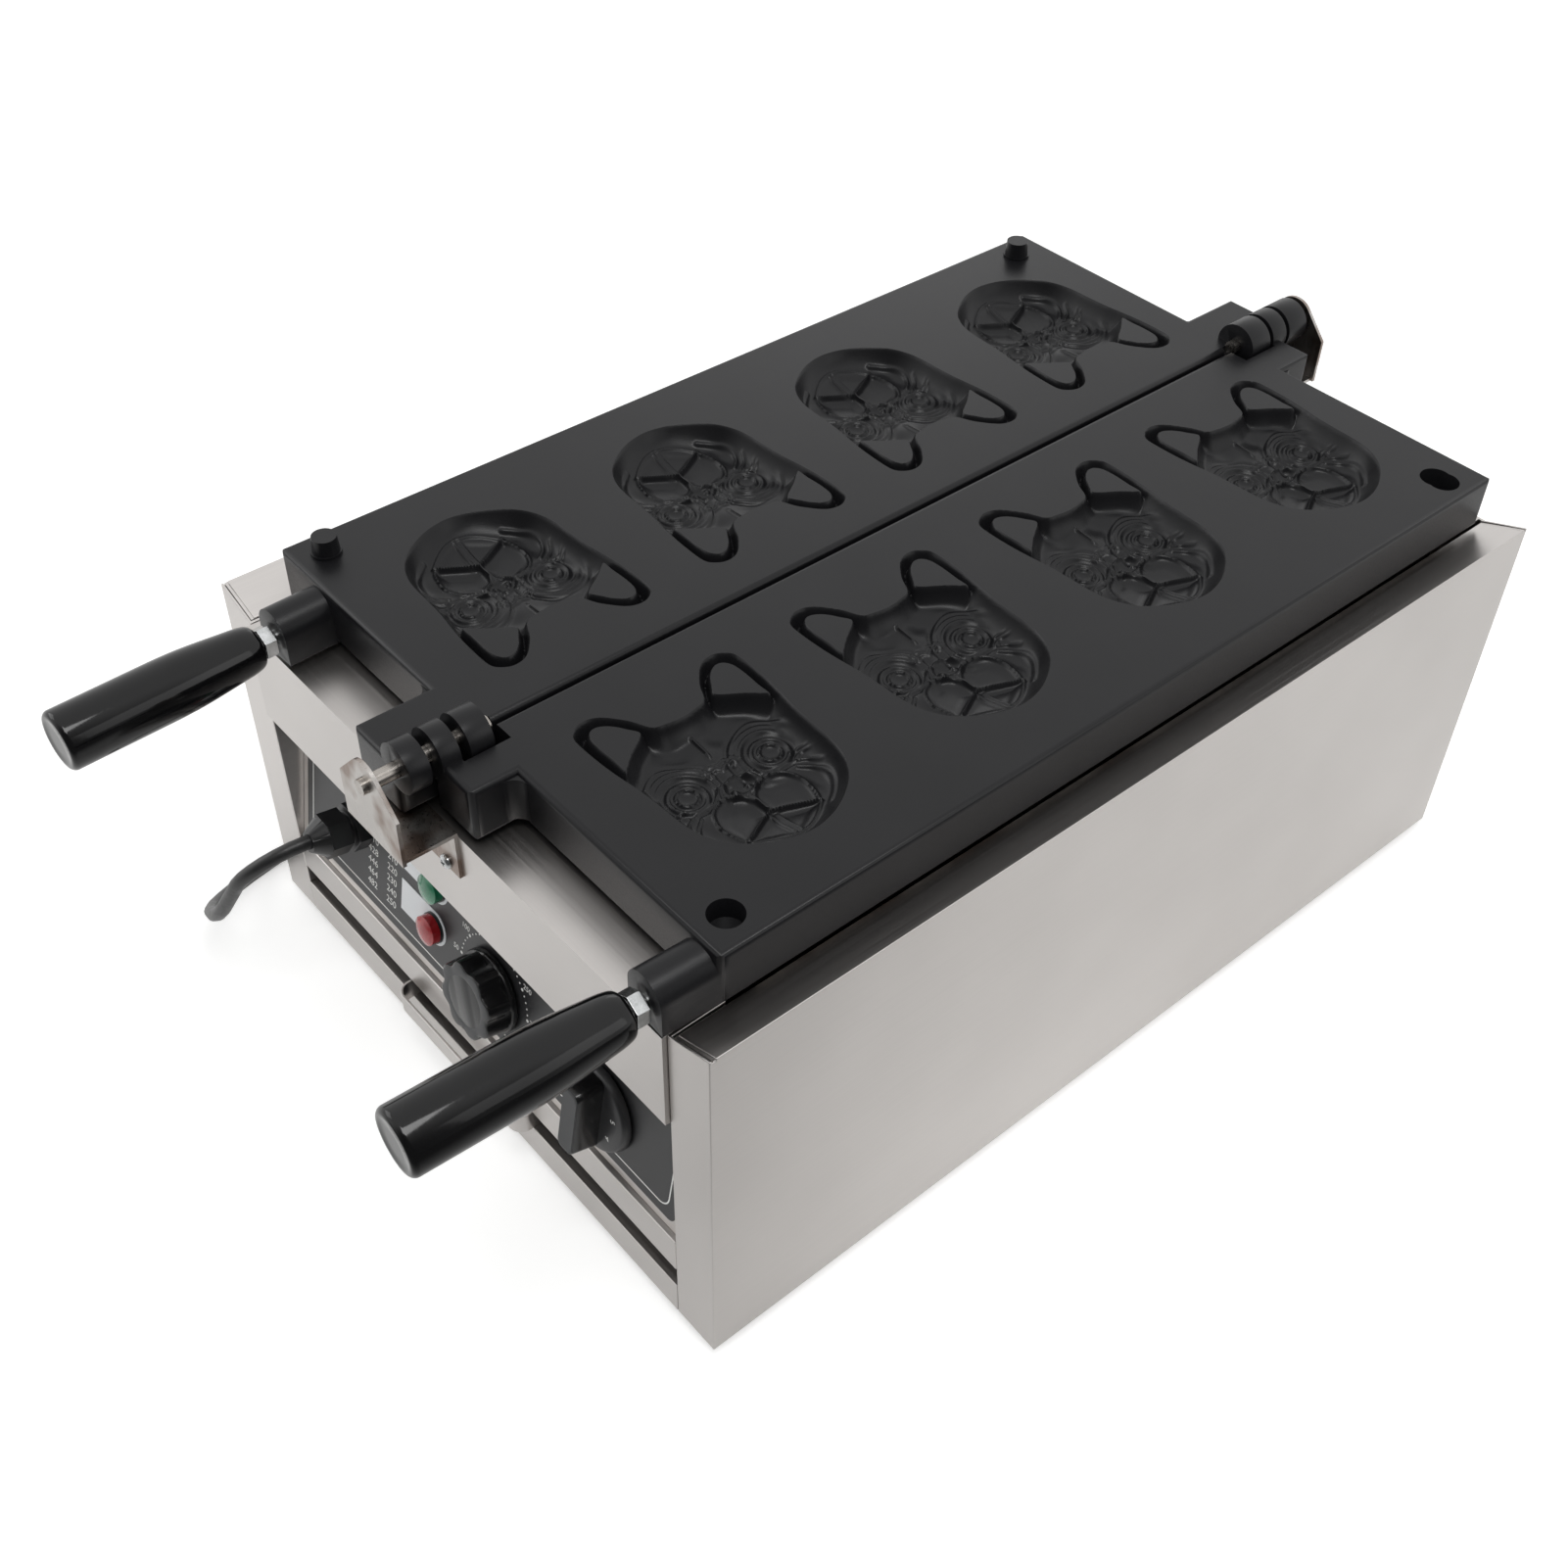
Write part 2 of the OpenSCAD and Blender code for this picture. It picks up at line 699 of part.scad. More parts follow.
// Element bent to four straight legs, with both ends out through the chamber's front
module heater() {
    bend_r = heater_pitch / 2;
    margin = 30;
    rear = chamber_y1 - margin - bend_r;
    near = chamber_y0 + margin + bend_r;
    out = chamber_y0 - heater_d;
    for (leg = [0:heater_legs - 1]) {
        x = heater_first + leg * heater_pitch;
        end = leg == 0 || leg == heater_legs - 1;
        start = end ? out : near;
        translate([x, start, heater_z]) rotate([-90, 0, 0])
            cylinder(h = rear - start, d = heater_d);
    }
    for (leg = [0:heater_legs - 2])
        translate([heater_first + (leg + 0.5) * heater_pitch, leg % 2 == 0 ? rear : near, heater_z])
            rotate([0, 0, leg % 2 == 0 ? 0 : 180])
                rotate_extrude(angle = 180) translate([bend_r, 0]) circle(d = heater_d);
}
module heater_left() {
    color("#6a6662") place() mirror([1, 0, 0]) heater();
}
module heater_right() {
    color("#6a6662") place() heater();
}

support_shares = [0.22, 0.72];
support_w = 15;
support_t = 4;
module heater_supports() {
    half = chamber_half - sheet_t - seat_gap;
    top = heater_z - heater_d / 2 - seat_gap;
    color("#8f8e8c") place() for (share = support_shares) {
        y = chamber_y0 + share * (chamber_y1 - chamber_y0);
        box([-half, y, top - support_t], [half, y + support_w, top]);
    }
}

// Controls behind the panel

wire_sides = 8;
body_gap = panel_in - seat_gap;
thermostat_size = [36, 40, 26];
timer_size = [44, 44, 30];
shaft_seat = 16;
module control_body(size) {
    difference() {
        translate([-size.x / 2, -size.y / 2, body_gap - size.z]) cube(size);
        translate([0, 0, body_gap - shaft_seat - cut])
            cylinder(h = shaft_seat + 2 * cut, r = shaft_d / 2 + pin_fit);
    }
}
module thermostat_body() {
    color("#d8d2c4") place() at_panel(thermostat_x, control_rise) control_body(thermostat_size);
}
module timer_body() {
    color("#3a3a3c") place() at_panel(timer_x, control_rise) control_body(timer_size);
}

// Sensing bulb on the heater support, with its thin tube down to the thermostat
bulb_l = 90;
capillary_d = 2.4;
module thermostat_bulb() {
    bulb_y = chamber_y0 + support_shares[0] * (chamber_y1 - chamber_y0) - bulb_l / 3;
    start = panel_point(thermostat_x, control_rise,
        thermostat_size.y / 2 + seat_gap + capillary_d / 2 * tan(panel_tilt),
        body_gap - thermostat_size.z / 2);
    turn_y = chamber_y0 - 2 * heater_bulb_d;
    bulb_z = heater_z - (heater_d - heater_bulb_d) / 2;
    color("#b87a4b") place() {
        tube([start, [start.x, turn_y, start.z + 2 * bulb_l / 3], [0, turn_y, heater_z],
            [0, chamber_y0 + heater_bulb_d, heater_z], [0, bulb_y + capillary_d, bulb_z]],
            capillary_d / 2, wire_sides);
        translate([0, bulb_y, bulb_z]) rotate([-90, 0, 0]) cylinder(h = bulb_l, d = heater_bulb_d);
    }
}

// Terminals on the chamber's front wall
terminal_size = [44, 18, 22];
terminal_x = -90;
terminal_z = 130;
terminal_y = chamber_y0 - seat_gap - terminal_size.y;
module terminal_block() {
    hole_d = 5;
    poles = 4;
    color("#e4dfd2") place() difference() {
        translate([terminal_x, terminal_y, terminal_z]) cube(terminal_size);
        for (i = [0:poles - 1])
            translate([terminal_x + (i + 0.5) * terminal_size.x / poles, terminal_y - cut,
                terminal_z + terminal_size.z / 2])
                rotate([-90, 0, 0]) cylinder(h = terminal_size.y / 2, d = hole_d);
    }
}

gland_in = 13;
lead_d = 7;
loom_d = 6;
module inner_lead() {
    start = panel_point(-gland_x, gland_rise, 0, -gland_in);
    bend = panel_point(-gland_x, gland_rise, 0, -gland_in - lead_d);
    end = [terminal_x + lead_d, terminal_y + terminal_size.y / 2, terminal_z];
    color("#202020") place() tube([start, bend, [end.x, end.y, end.z - 2 * lead_d], end], lead_d / 2, wire_sides);
}

module wiring_loom() {
    top = terminal_z + terminal_size.z / 2;
    start = [terminal_x + terminal_size.x, terminal_y + terminal_size.y / 2, top];
    end = panel_point(timer_x, control_rise,
        timer_size.y / 2 + seat_gap + loom_d / 2 * tan(panel_tilt), body_gap - timer_size.z / 2);
    color("#7a2d22") place()
        tube([start, [end.x - 2 * timer_size.z, start.y, top], [end.x, start.y, end.z + 2 * loom_d],
            end], loom_d / 2, wire_sides);
}

// Lamps

holder_l = 22;
holder_flange_t = 1.5;
lens_h = 6.5;
module lamp_holders() {
    flange_out = plate_film_t + seat_gap / 3;
    color("#2a2a2c") place() for (rise = [control_rise, lamp_rise])
        at_panel(-lamp_x, rise) {
            translate([0, 0, -holder_l]) cylinder(h = holder_l + flange_out, d = lamp_hole_d);
            translate([0, 0, flange_out]) cylinder(h = holder_flange_t, d = lamp_d);
        }
}
module lens(rise) {
    base = plate_film_t + seat_gap / 3 + holder_flange_t;
    dome_r = lamp_d;
    lens_r = lamp_d / 2 - holder_flange_t / 3;
    at_panel(-lamp_x, rise) translate([0, 0, base]) intersection() {
        cylinder(h = lens_h, r = lens_r);
        translate([0, 0, lens_h - dome_r]) sphere(r = dome_r);
    }
}
module lamp_red() {
    color("#b3202a") place() lens(control_rise);
}
module lamp_green() {
    color("#1f8a55") place() lens(lamp_rise);
}

// Cable gland, with the cord leaving through its cap

gland_base_af = 24;
gland_base_h = 8;
gland_neck_d = 18;
gland_neck_h = 3;
gland_cap_af = 22;
gland_cap_h = 12;
gland_dome_h = 8;
gland_tip_d = 12;
gland_l = gland_base_h + gland_neck_h + gland_cap_h + gland_dome_h;
cord_seat = 6.35;
cord_hole_r = cord_d / 2 + 2 * pin_fit;
module gland_body() {
    color("#161616") place() at_panel(-gland_x, gland_rise) {
        translate([0, 0, -gland_in]) cylinder(h = gland_in, d = gland_thread_d);
        hex(gland_base_af, gland_base_h);
        translate([0, 0, gland_base_h]) cylinder(h = gland_neck_h, d = gland_neck_d);
    }
}
module gland_nut() {
    start = gland_base_h + gland_neck_h;
    color("#1c1c1c") place() at_panel(-gland_x, gland_rise) difference() {
        union() {
            translate([0, 0, start]) hex(gland_cap_af, gland_cap_h);
            translate([0, 0, start + gland_cap_h])
                cylinder(h = gland_dome_h, d1 = gland_cap_af, d2 = gland_tip_d);
        }
        translate([0, 0, gland_l - cord_seat]) cylinder(h = cord_seat + cut, r = cord_hole_r);
    }
}
module gland_locknut() {
    nut_h = 5;
    color("#1c1c1c") place() at_panel(-gland_x, gland_rise)
        translate([0, 0, panel_in - nut_h]) difference() {
            hex(gland_base_af, nut_h);
            translate([0, 0, -cut]) cylinder(h = nut_h + 2 * cut, r = gland_thread_d / 2 + pin_fit);
        }
}

// Mains cord: straight out of the gland, down to the floor and back along the left side.
// The points are on the cord's axis, in the casing's frame with the feet at their given height.
cord_route = [
    [-112, -298, 113.3], [-112, -306, 114.7], [-113, -313.9, 114.5], [-114.8, -321.5, 112.7],
    [-117.5, -328.3, 109.4], [-120.8, -334, 104.9], [-124.7, -338.2, 99.3],
    [-128.8, -340.8, 92.9], [-132.9, -341.5, 86.1], [-143, -346.5, 66.5], [-152.5, -347, 54.5],
    [-164, -346, 43.5], [-177, -343, 33], [-189, -337, 23], [-200, -328, 14],
    [-210, -316, 6.5], [-218, -303, 1], [-224, -288, -2.5], [-228, -272, -4], [-230, -256, -4],
    [-230.4, -240, -4], [-230.4, -220, -4], [-230.4, -200, -4], [-230.4, -180, -4],
    [-230.4, -160, -4], [-230.4, -140, -4], [-230.4, -118, -4]
];
cord_end = cord_route[len(cord_route) - 1];
cord_sides = 8;
coil_sides = 6;
coil_steps = 24;
coil_run = 8;
tail_run = 22;
layer_h = coil_pitch;
climb_turns = 0.5;
plug_d = 36;
plug_z = plug_d / 2 - foot_h;

// Turns that spiral in on the floor, climb in the middle and spiral out again above
floor_z = cord_d / 2 - foot_h;
function spiral_r(t) =
    coil_r + coil_pitch * (abs(t - coil_turns / 2) - coil_turns / 4);
function climb(t) =
    let (s = min(1, max(0, (t - coil_turns / 2) / climb_turns + 0.5)))
    layer_h * s * s * (3 - 2 * s);
coil_start = [cord_end.x, cord_end.y + coil_run, floor_z];
coil_centre = [coil_start.x - spiral_r(0), coil_start.y, floor_z];
function coil_point(t) = coil_centre
    + [spiral_r(t) * cos(360 * t), spiral_r(t) * sin(360 * t), climb(t)];
coil_top = coil_point(coil_turns);
tail_rise = plug_z - coil_top.z;
coil_points = concat(
    [[coil_start.x, cord_end.y, floor_z]],
    [for (k = [0:coil_turns * coil_steps]) coil_point(k / coil_steps)],
    [coil_top + [0, tail_run / 2, tail_rise / 2], coil_top + [0, tail_run, tail_rise],
        coil_top + [0, tail_run + coil_run, tail_rise]]
);
function route_l(p, i = 1) = i < len(p) ? norm(p[i] - p[i - 1]) + route_l(p, i + 1) : 0;
coil_only = [for (k = [0:coil_turns * coil_steps]) coil_point(k / coil_steps)];
coil_gap = min([for (i = [0:len(coil_only) - 1])
    for (j = [i + coil_steps / 2:len(coil_only) - 1]) norm(coil_only[i] - coil_only[j])]) - cord_d;
echo(coil_gap_to_itself = coil_gap);
echo(cord_length = route_l(cord_route) + route_l(coil_points));

module cord() {
    color("#161616") place() tube(cord_route, cord_d / 2, cord_sides);
}
module cord_coil() {
    color("#161616") place() tube(coil_points, cord_d / 2, coil_sides);
}

// Plug, lying beside the coil with its pins away from the cord
plug_body_l = 34;
plug_relief_l = 40;
plug_relief_d = 14;
plug_pin_d = 4.8;
plug_pin_l = 19;
plug_pin_gap = 19;
plug_y = coil_points[len(coil_points) - 1].y;
module plug() {
    color("#141414") place() translate([coil_start.x, plug_y, plug_z]) rotate([-90, 0, 0]) {
        cylinder(h = plug_relief_l, d1 = cord_d + sheet_t, d2 = plug_relief_d);
        translate([0, 0, plug_relief_l - plug_relief_d / 2])
            cylinder(h = plug_relief_d / 2, d1 = plug_relief_d, d2 = plug_d);
        translate([0, 0, plug_relief_l]) cylinder(h = plug_body_l, d = plug_d);
        for (x = [-plug_pin_gap / 2, plug_pin_gap / 2])
            translate([x, 0, plug_relief_l + plug_body_l])
                cylinder(h = plug_pin_l, d = plug_pin_d);
    }
}

// Hinges

// The bracket stands on its face at y = 0 and reaches towards -Y
module bracket(reach) {
    foot_half = bracket_foot_w / 2;
    half = bracket_w / 2;
    shelf_z = fascia_z + bracket_t;
    shoulder_z = axis_z - shoulder_drop;
    head_r = bracket_head_d / 2;
    difference() {
        union() {
            box([-foot_half, -bracket_t, shelf_z - bracket_t - bracket_foot_h],
                [foot_half, 0, shelf_z]);
            box([-foot_half, -reach, shelf_z - bracket_t], [foot_half, 0, shelf_z]);
            translate([0, -reach + bracket_t, 0]) rotate([90, 0, 0])
                linear_extrude(bracket_t) {
                    polygon([
                        [-half, shelf_z - bracket_t], [half, shelf_z - bracket_t],
                        [half, shoulder_z],
                        [head_r * cos(45), axis_z + head_r * sin(45)],
                        [-head_r * cos(45), axis_z + head_r * sin(45)],
                        [-half, shoulder_z]
                    ]);
                    translate([0, axis_z]) circle(head_r);
                }
        }
        translate([0, bracket_t - reach + cut, axis_z]) rotate([90, 0, 0])
            cylinder(h = bracket_t + 2 * cut, r = rod_d / 2 + pin_fit);
        bracket_screw_holes(cut, bracket_t + 2 * cut);
    }
}
module hinge_bracket_front() {
    color("#8f8880") place() translate([0, fascia_y, 0]) bracket(bracket_reach_front);
}
module hinge_bracket_rear() {
    color("#8f8880") place() translate([0, rear_y + sheet_t, 0]) mirror([0, 1, 0])
        bracket(bracket_reach_rear);
}

module bracket_screws() {
    head_h = 2.5;
    length = bracket_t + sheet_t + 4 * head_h;
    color("#b5b5b5") place() for (x = [-bracket_screw_x, bracket_screw_x]) {
        translate([x, fascia_y - bracket_t, fascia_z - bracket_screw_z]) rotate([90, 0, 0])
            screw(2 * bracket_screw_d, head_h, bracket_screw_d, length);
        translate([x, rear_y + sheet_t + bracket_t, fascia_z - bracket_screw_z])
            rotate([-90, 0, 0]) screw(2 * bracket_screw_d, head_h, bracket_screw_d, length);
    }
}

// Knuckles as [from, to], measured outwards from the plate's edge, and the pockets between them
fk0 = lug_front_left - front_knuckles[0];
fk1 = lug_front_right - front_knuckles[1];
fk2 = fk1 - front_knuckle_gap;
fk3 = fk2 - front_knuckles[2];
front_left_knuckles = [[fk0, lug_front_left], [fk3, fk2]];
front_right_knuckles = [[fk1, lug_front_right]];
front_left_pockets = [[fk2, fk0]];
front_right_pockets = [[fk3 - pocket_end, fk1]];
rear_mid = lug_rear_right + rear_knuckle_gap;
rear_in = rear_mid - rear_knuckles[1];
rear_first = rear_in - rear_knuckle_gap;
rear_last = rear_mid + rear_knuckle_gap;
rear_left_knuckles = [
    [rear_first - rear_knuckles[0], rear_first], [rear_last, rear_last + rear_knuckles[2]]
];
rear_right_knuckles = [[rear_in, rear_mid]];
rear_left_pockets = [[rear_first, rear_last]];
rear_right_pockets = [[rear_first - rear_knuckles[0] - pocket_end, rear_in]];

// Round bar about the hinge axis, from one y to another
module about_axis(y0, y1, r) {
    translate([0, y1, axis_z]) rotate([90, 0, 0]) cylinder(h = y1 - y0, r = r);
}

module hinge_rod_front() {
    color("#a8a5a1") place()
        about_axis(fascia_y - bracket_reach_front - rod_out,
            plate_y0 - fk3 + pocket_end - rod_out, rod_d / 2);
}
module hinge_rod_rear() {
    rod_start = plate_y1 + rear_first - rear_knuckles[0] - pocket_end + rod_out;
    color("#a8a5a1") place()
        about_axis(rod_start, rear_y + sheet_t + bracket_reach_rear + rod_out, rod_d / 2);
}

// Plates

// Half of the outline of a cavity, from the forehead's middle to the chin.
// Shares of the cavity's length, from the ear tips, and of half its width.
head_shares = [
    [0.228, 0], [0.215, 0.188], [0.198, 0.318], [0.122, 0.408], [0.084, 0.471], [0.030, 0.586],
    [0.004, 0.691], [0, 0.817], [0.021, 0.921], [0.055, 0.985], [0.12, 1], [0.241, 0.991],
    [0.350, 0.963], [0.451, 0.921], [0.578, 0.901], [0.705, 0.901], [0.772, 0.880],
    [0.806, 0.848], [0.886, 0.681], [0.945, 0.461], [0.975, 0.283], [1, 0]
];
// The raised middle of an ear, in the same shares
ear_shares = [
    [0.198, 0.42], [0.13, 0.49], [0.075, 0.59], [0.045, 0.71], [0.05, 0.82], [0.09, 0.895],
    [0.16, 0.915], [0.25, 0.905], [0.335, 0.885], [0.27, 0.66]
];
// The muzzle's pads, from the nose round the cheek and back along the mouth, in the same shares
pad_shares = [
    [0.61, 0.02], [0.555, 0.09], [0.57, 0.2], [0.575, 0.33], [0.62, 0.455], [0.69, 0.505],
    [0.765, 0.485], [0.81, 0.42], [0.78, 0.25], [0.752, 0.1], [0.735, 0.02]
];
// The line of the mouth, from the middle to its corner, and the line of the lower lip
mouth_shares = [[0.748, 0], [0.835, 0.44], [0.85, 0.44], [0.763, 0]];
lip_shares = [[0.935, 0], [0.915, 0.14], [0.85, 0.42], [0.863, 0.43], [0.928, 0.15], [0.95, 0]];
// The fold under an eye, and the brow over it
fold_shares = [
    [0.535, 0.2], [0.585, 0.36], [0.605, 0.56], [0.59, 0.74], [0.603, 0.74], [0.62, 0.56],
    [0.598, 0.34], [0.545, 0.18]
];
brow_shares = [
    [0.46, 0.13], [0.39, 0.24], [0.357, 0.42], [0.365, 0.62], [0.42, 0.79], [0.43, 0.775],
    [0.38, 0.61], [0.372, 0.43], [0.402, 0.265], [0.466, 0.155]
];
// Places of the eyes and the nose, and their sizes
eye_shares = [0.506, 0.5];
nose_shares = [0.572, 0];
eye_d = 10;
eye_ring_d = 14;
nose_size = [7, 10];
// Width and height of the raised lines, and how far the hollows go below the floor
line_w = 1.2;
line_h = 1.4;
hollow_depth = 1.6;
round_sides = 20;

function half_outline(shares, side) =
    [for (s = shares) [s[0] * cavity_l, side * s[1] * cavity_w / 2]];

// A shape on the cavity's floor, from one height to another
module on_floor(low, high) {
    translate([0, 0, low - cavity_depth]) linear_extrude(high - low) children();
}

// One cavity, with its ear tips towards the hinge at x = cavity_inset. The mould is the
// face's negative: its pads, eyes and nose are hollows and its creases are raised lines.
module cavity() {
    outline = concat(half_outline(head_shares, 1),
        [for (i = [len(head_shares) - 2:-1:1]) half_outline(head_shares, -1)[i]]);
    nose = half_outline([nose_shares], 1)[0];
    low = -hollow_depth - cut;
    difference() {
        union() {
            on_floor(0, cavity_depth + cut) polygon(outline);
            on_floor(-hollow_depth, cut) translate(nose) scale(nose_size / 2)
                circle(1, $fn = round_sides);
            for (side = [-1, 1]) {
                on_floor(-hollow_depth, cut) polygon(half_outline(pad_shares, side));
                on_floor(-hollow_depth, cut) translate(half_outline([eye_shares], side)[0])
                    circle(d = eye_d, $fn = round_sides);
            }
        }
        for (side = [-1, 1]) {
            on_floor(low, cavity_depth - plate_edge_r / 2)
                polygon(half_outline(ear_shares, side));
            for (line = [mouth_shares, lip_shares, fold_shares, brow_shares])
                on_floor(low, line_h) polygon(half_outline(line, side));
            on_floor(low, line_h) translate(half_outline([eye_shares], side)[0]) difference() {
                circle(d = eye_ring_d, $fn = round_sides);
                circle(d = eye_ring_d - 2 * line_w, $fn = round_sides);
            }
        }
    }
}

// A lug at the front (dir -1) or the rear (dir 1), with the fillet beside it
module lug(dir, reach, width) {
    edge = dir < 0 ? plate_y0 : plate_y1;
    y0 = dir < 0 ? edge - reach : edge - plate_corner_r * 3;
    y1 = dir < 0 ? edge + plate_corner_r * 3 : edge + reach;
    soft_box([plate_x, y0, plate_z], [plate_x + width, y1, face_z], plate_edge_r,
        plate_corner_r);
    translate([plate_x + width, edge, plate_z + plate_edge_r])
        scale([1, dir, 1]) difference() {
            box([-plate_edge_r, -plate_edge_r, 0],
                [lug_fillet, lug_fillet, plate_t - 2 * plate_edge_r]);
            translate([lug_fillet, lug_fillet, -cut])
                cylinder(h = plate_t + 2 * cut, r = lug_fillet);
        }
}

// Frame of a handle: the boss's front face is at the origin and -Y points along the grip
module at_handle(x) {
    translate([x, boss_y, stud_z]) rotate([0, 0, -handle_splay]) children();
}
stud_in = 20;
module boss(x) {
    arch_r = boss_w / 2;
    at_handle(x) translate([0, boss_reach + plate_corner_r, 0]) rotate([90, 0, 0])
        linear_extrude(boss_reach + plate_corner_r) difference() {
            union() {
                translate([-arch_r, -handle_rise]) square([boss_w, boss_h - arch_r]);
                translate([0, boss_h - arch_r - handle_rise]) circle(arch_r);
            }
            translate([-boss_w, -handle_rise - boss_w]) square([2 * boss_w, boss_w]);
        }
}

// Drawn on the right of the hinge; the left plate is this one mirrored
module plate(lugs, knuckles, pockets, handle_x, face_pins) {
    difference() {
        union() {
            difference() {
                union() {
                    soft_box([plate_x, plate_y0, plate_z], [plate_x + plate_w, plate_y1, face_z],
                        plate_edge_r, plate_corner_r);
                    lug(-1, lugs[0], lugs[2]);
                    lug(1, lugs[1], lugs[2]);
                }
                for (p = pockets[0])
                    about_axis(plate_y0 - p[1], plate_y0 - p[0], knuckle_d / 2 + pocket_clear);
                for (p = pockets[1])
                    about_axis(plate_y1 + p[0], plate_y1 + p[1], knuckle_d / 2 + pocket_clear);
            }
            for (k = knuckles[0])
                about_axis(plate_y0 - k[1], plate_y0 - k[0], knuckle_d / 2);
            for (k = knuckles[1])
                about_axis(plate_y1 + k[0], plate_y1 + k[1], knuckle_d / 2);
            boss(handle_x);
        }
        for (i = [0:cavity_count - 1])
            translate([cavity_inset,
                (plate_y0 + plate_y1) / 2 + cavity_shift + (i - (cavity_count - 1) / 2) * cavity_pitch, face_z])
                cavity();
        about_axis(plate_y0 - lug_front_left - cut, plate_y0 - fk3 + pocket_end,
            rod_d / 2 + rod_fit);
        about_axis(plate_y1 + rear_first - rear_knuckles[0] - pocket_end,
            plate_y1 + rear_last + rear_knuckles[2] + cut, rod_d / 2 + rod_fit);
        at_handle(handle_x) translate([0, stud_in, 0]) rotate([90, 0, 0])
            cylinder(h = stud_in + cut, r = stud_d / 2 + pin_fit);
        for (hole = face_pins)
            translate([hole.x, hole.y, face_z - hole[2]])
                cylinder(h = hole[2] + cut, d = hole[3]);
    }
}

pin_y0 = plate_y0 + pin_front;
pin_y1 = plate_y1 - pin_rear;
stem_d = 8;
stem_l = 8;
stem_hole = stem_d + 2 * pin_fit;
module plate_left() {
    color("#2b2b2d") place() mirror([1, 0, 0])
        plate([lug_front_left, lug_rear_left, lug_w_left],
            [front_left_knuckles, rear_left_knuckles],
            [front_left_pockets, rear_left_pockets], handle_x_left,
            [[pin_x, pin_y0, stem_l, stem_hole], [pin_x, pin_y1, stem_l, stem_hole]]);
}
module plate_right() {
    slot = socket_slot / 2;
    color("#2b2b2d") place()
        plate([lug_front_right, lug_rear_right, lug_w_right],
            [front_right_knuckles, rear_right_knuckles],
            [front_right_pockets, rear_right_pockets], handle_x_right,
            [[pin_x, pin_y0, socket_depth, socket_d],
                [pin_x - slot, pin_y1, socket_depth, socket_d],
                [pin_x + slot, pin_y1, socket_depth, socket_d]]);
}

module locating_pins() {
    ring_h = 1.5;
    color("#2f2f31") place() for (y = [pin_y0, pin_y1])
        translate([-pin_x, y, face_z]) {
            translate([0, 0, -stem_l + seat_gap]) cylinder(h = stem_l, d = stem_d);
            cylinder(h = ring_h, d = pin_d + 2 * ring_h);
            cylinder(h = pin_h, d1 = pin_d + ring_h, d2 = pin_d);
        }
}

// Handles

stud_out = 42;
// Radius of the flat at a grip's root, as a share of the root's
root_flat_share = 0.6;
// Grip outline as shares of the length and of the rise from root to full radius
grip_shares = [
    [0.01, -0.55], [0.03, -0.1], [0.06, 0.12], [0.12, 0.3], [0.2, 0.52], [0.3, 0.78], [0.4, 0.95],
    [0.5, 1]
];
module stud(x) {
    at_handle(x) translate([0, stud_in, 0]) rotate([90, 0, 0])
        cylinder(h = stud_in + stud_out, d = stud_d);
}
module locknut(x) {
    at_handle(x) translate([0, -nut_gap, 0]) rotate([90, 30, 0]) difference() {
        hex(locknut_af, locknut_h);
        translate([0, 0, -cut]) cylinder(h = locknut_h + 2 * cut, r = stud_d / 2 + pin_fit);
    }
}
module grip(x) {
    root_r = handle_root_d / 2;
    full_r = handle_d / 2;
    at_handle(x) translate([0, -grip_start, 0]) rotate([90, 0, 0]) difference() {
        rotate_extrude() polygon(concat(
            [[0, 0], [root_r * root_flat_share, 0]],
            [for (s = grip_shares)
                [root_r + s[1] * (full_r - root_r), s[0] * handle_l]],
            [[full_r, handle_l - grip_bevel], [grip_tip_r, handle_l], [0, handle_l]]
        ));
        translate([0, 0, -cut])
            cylinder(h = stud_out - grip_start + 2 * cut, r = stud_d / 2 + pin_fit);
    }
}
module mirrored(on) {
    if (on) mirror([1, 0, 0]) children();
    else children();
}
module stud_left() {
    color("#b9b7b3") place() mirrored(true) stud(handle_x_left);
}
module stud_right() {
    color("#b9b7b3") place() stud(handle_x_right);
}
module locknut_left() {
    color("#c3c1bd") place() mirrored(true) locknut(handle_x_left);
}
module locknut_right() {
    color("#c3c1bd") place() locknut(handle_x_right);
}
module handle_left() {
    color("#121212") place() mirrored(true) grip(handle_x_left);
}
module handle_right() {
    color("#121212") place() grip(handle_x_right);
}

// Knobs and their shafts

knob_lift = 1;
// Radius of a finger hollow, as a share of half its pitch, and how far out its middle lies
hollow_share = 0.9;
hollow_out_share = 0.5;
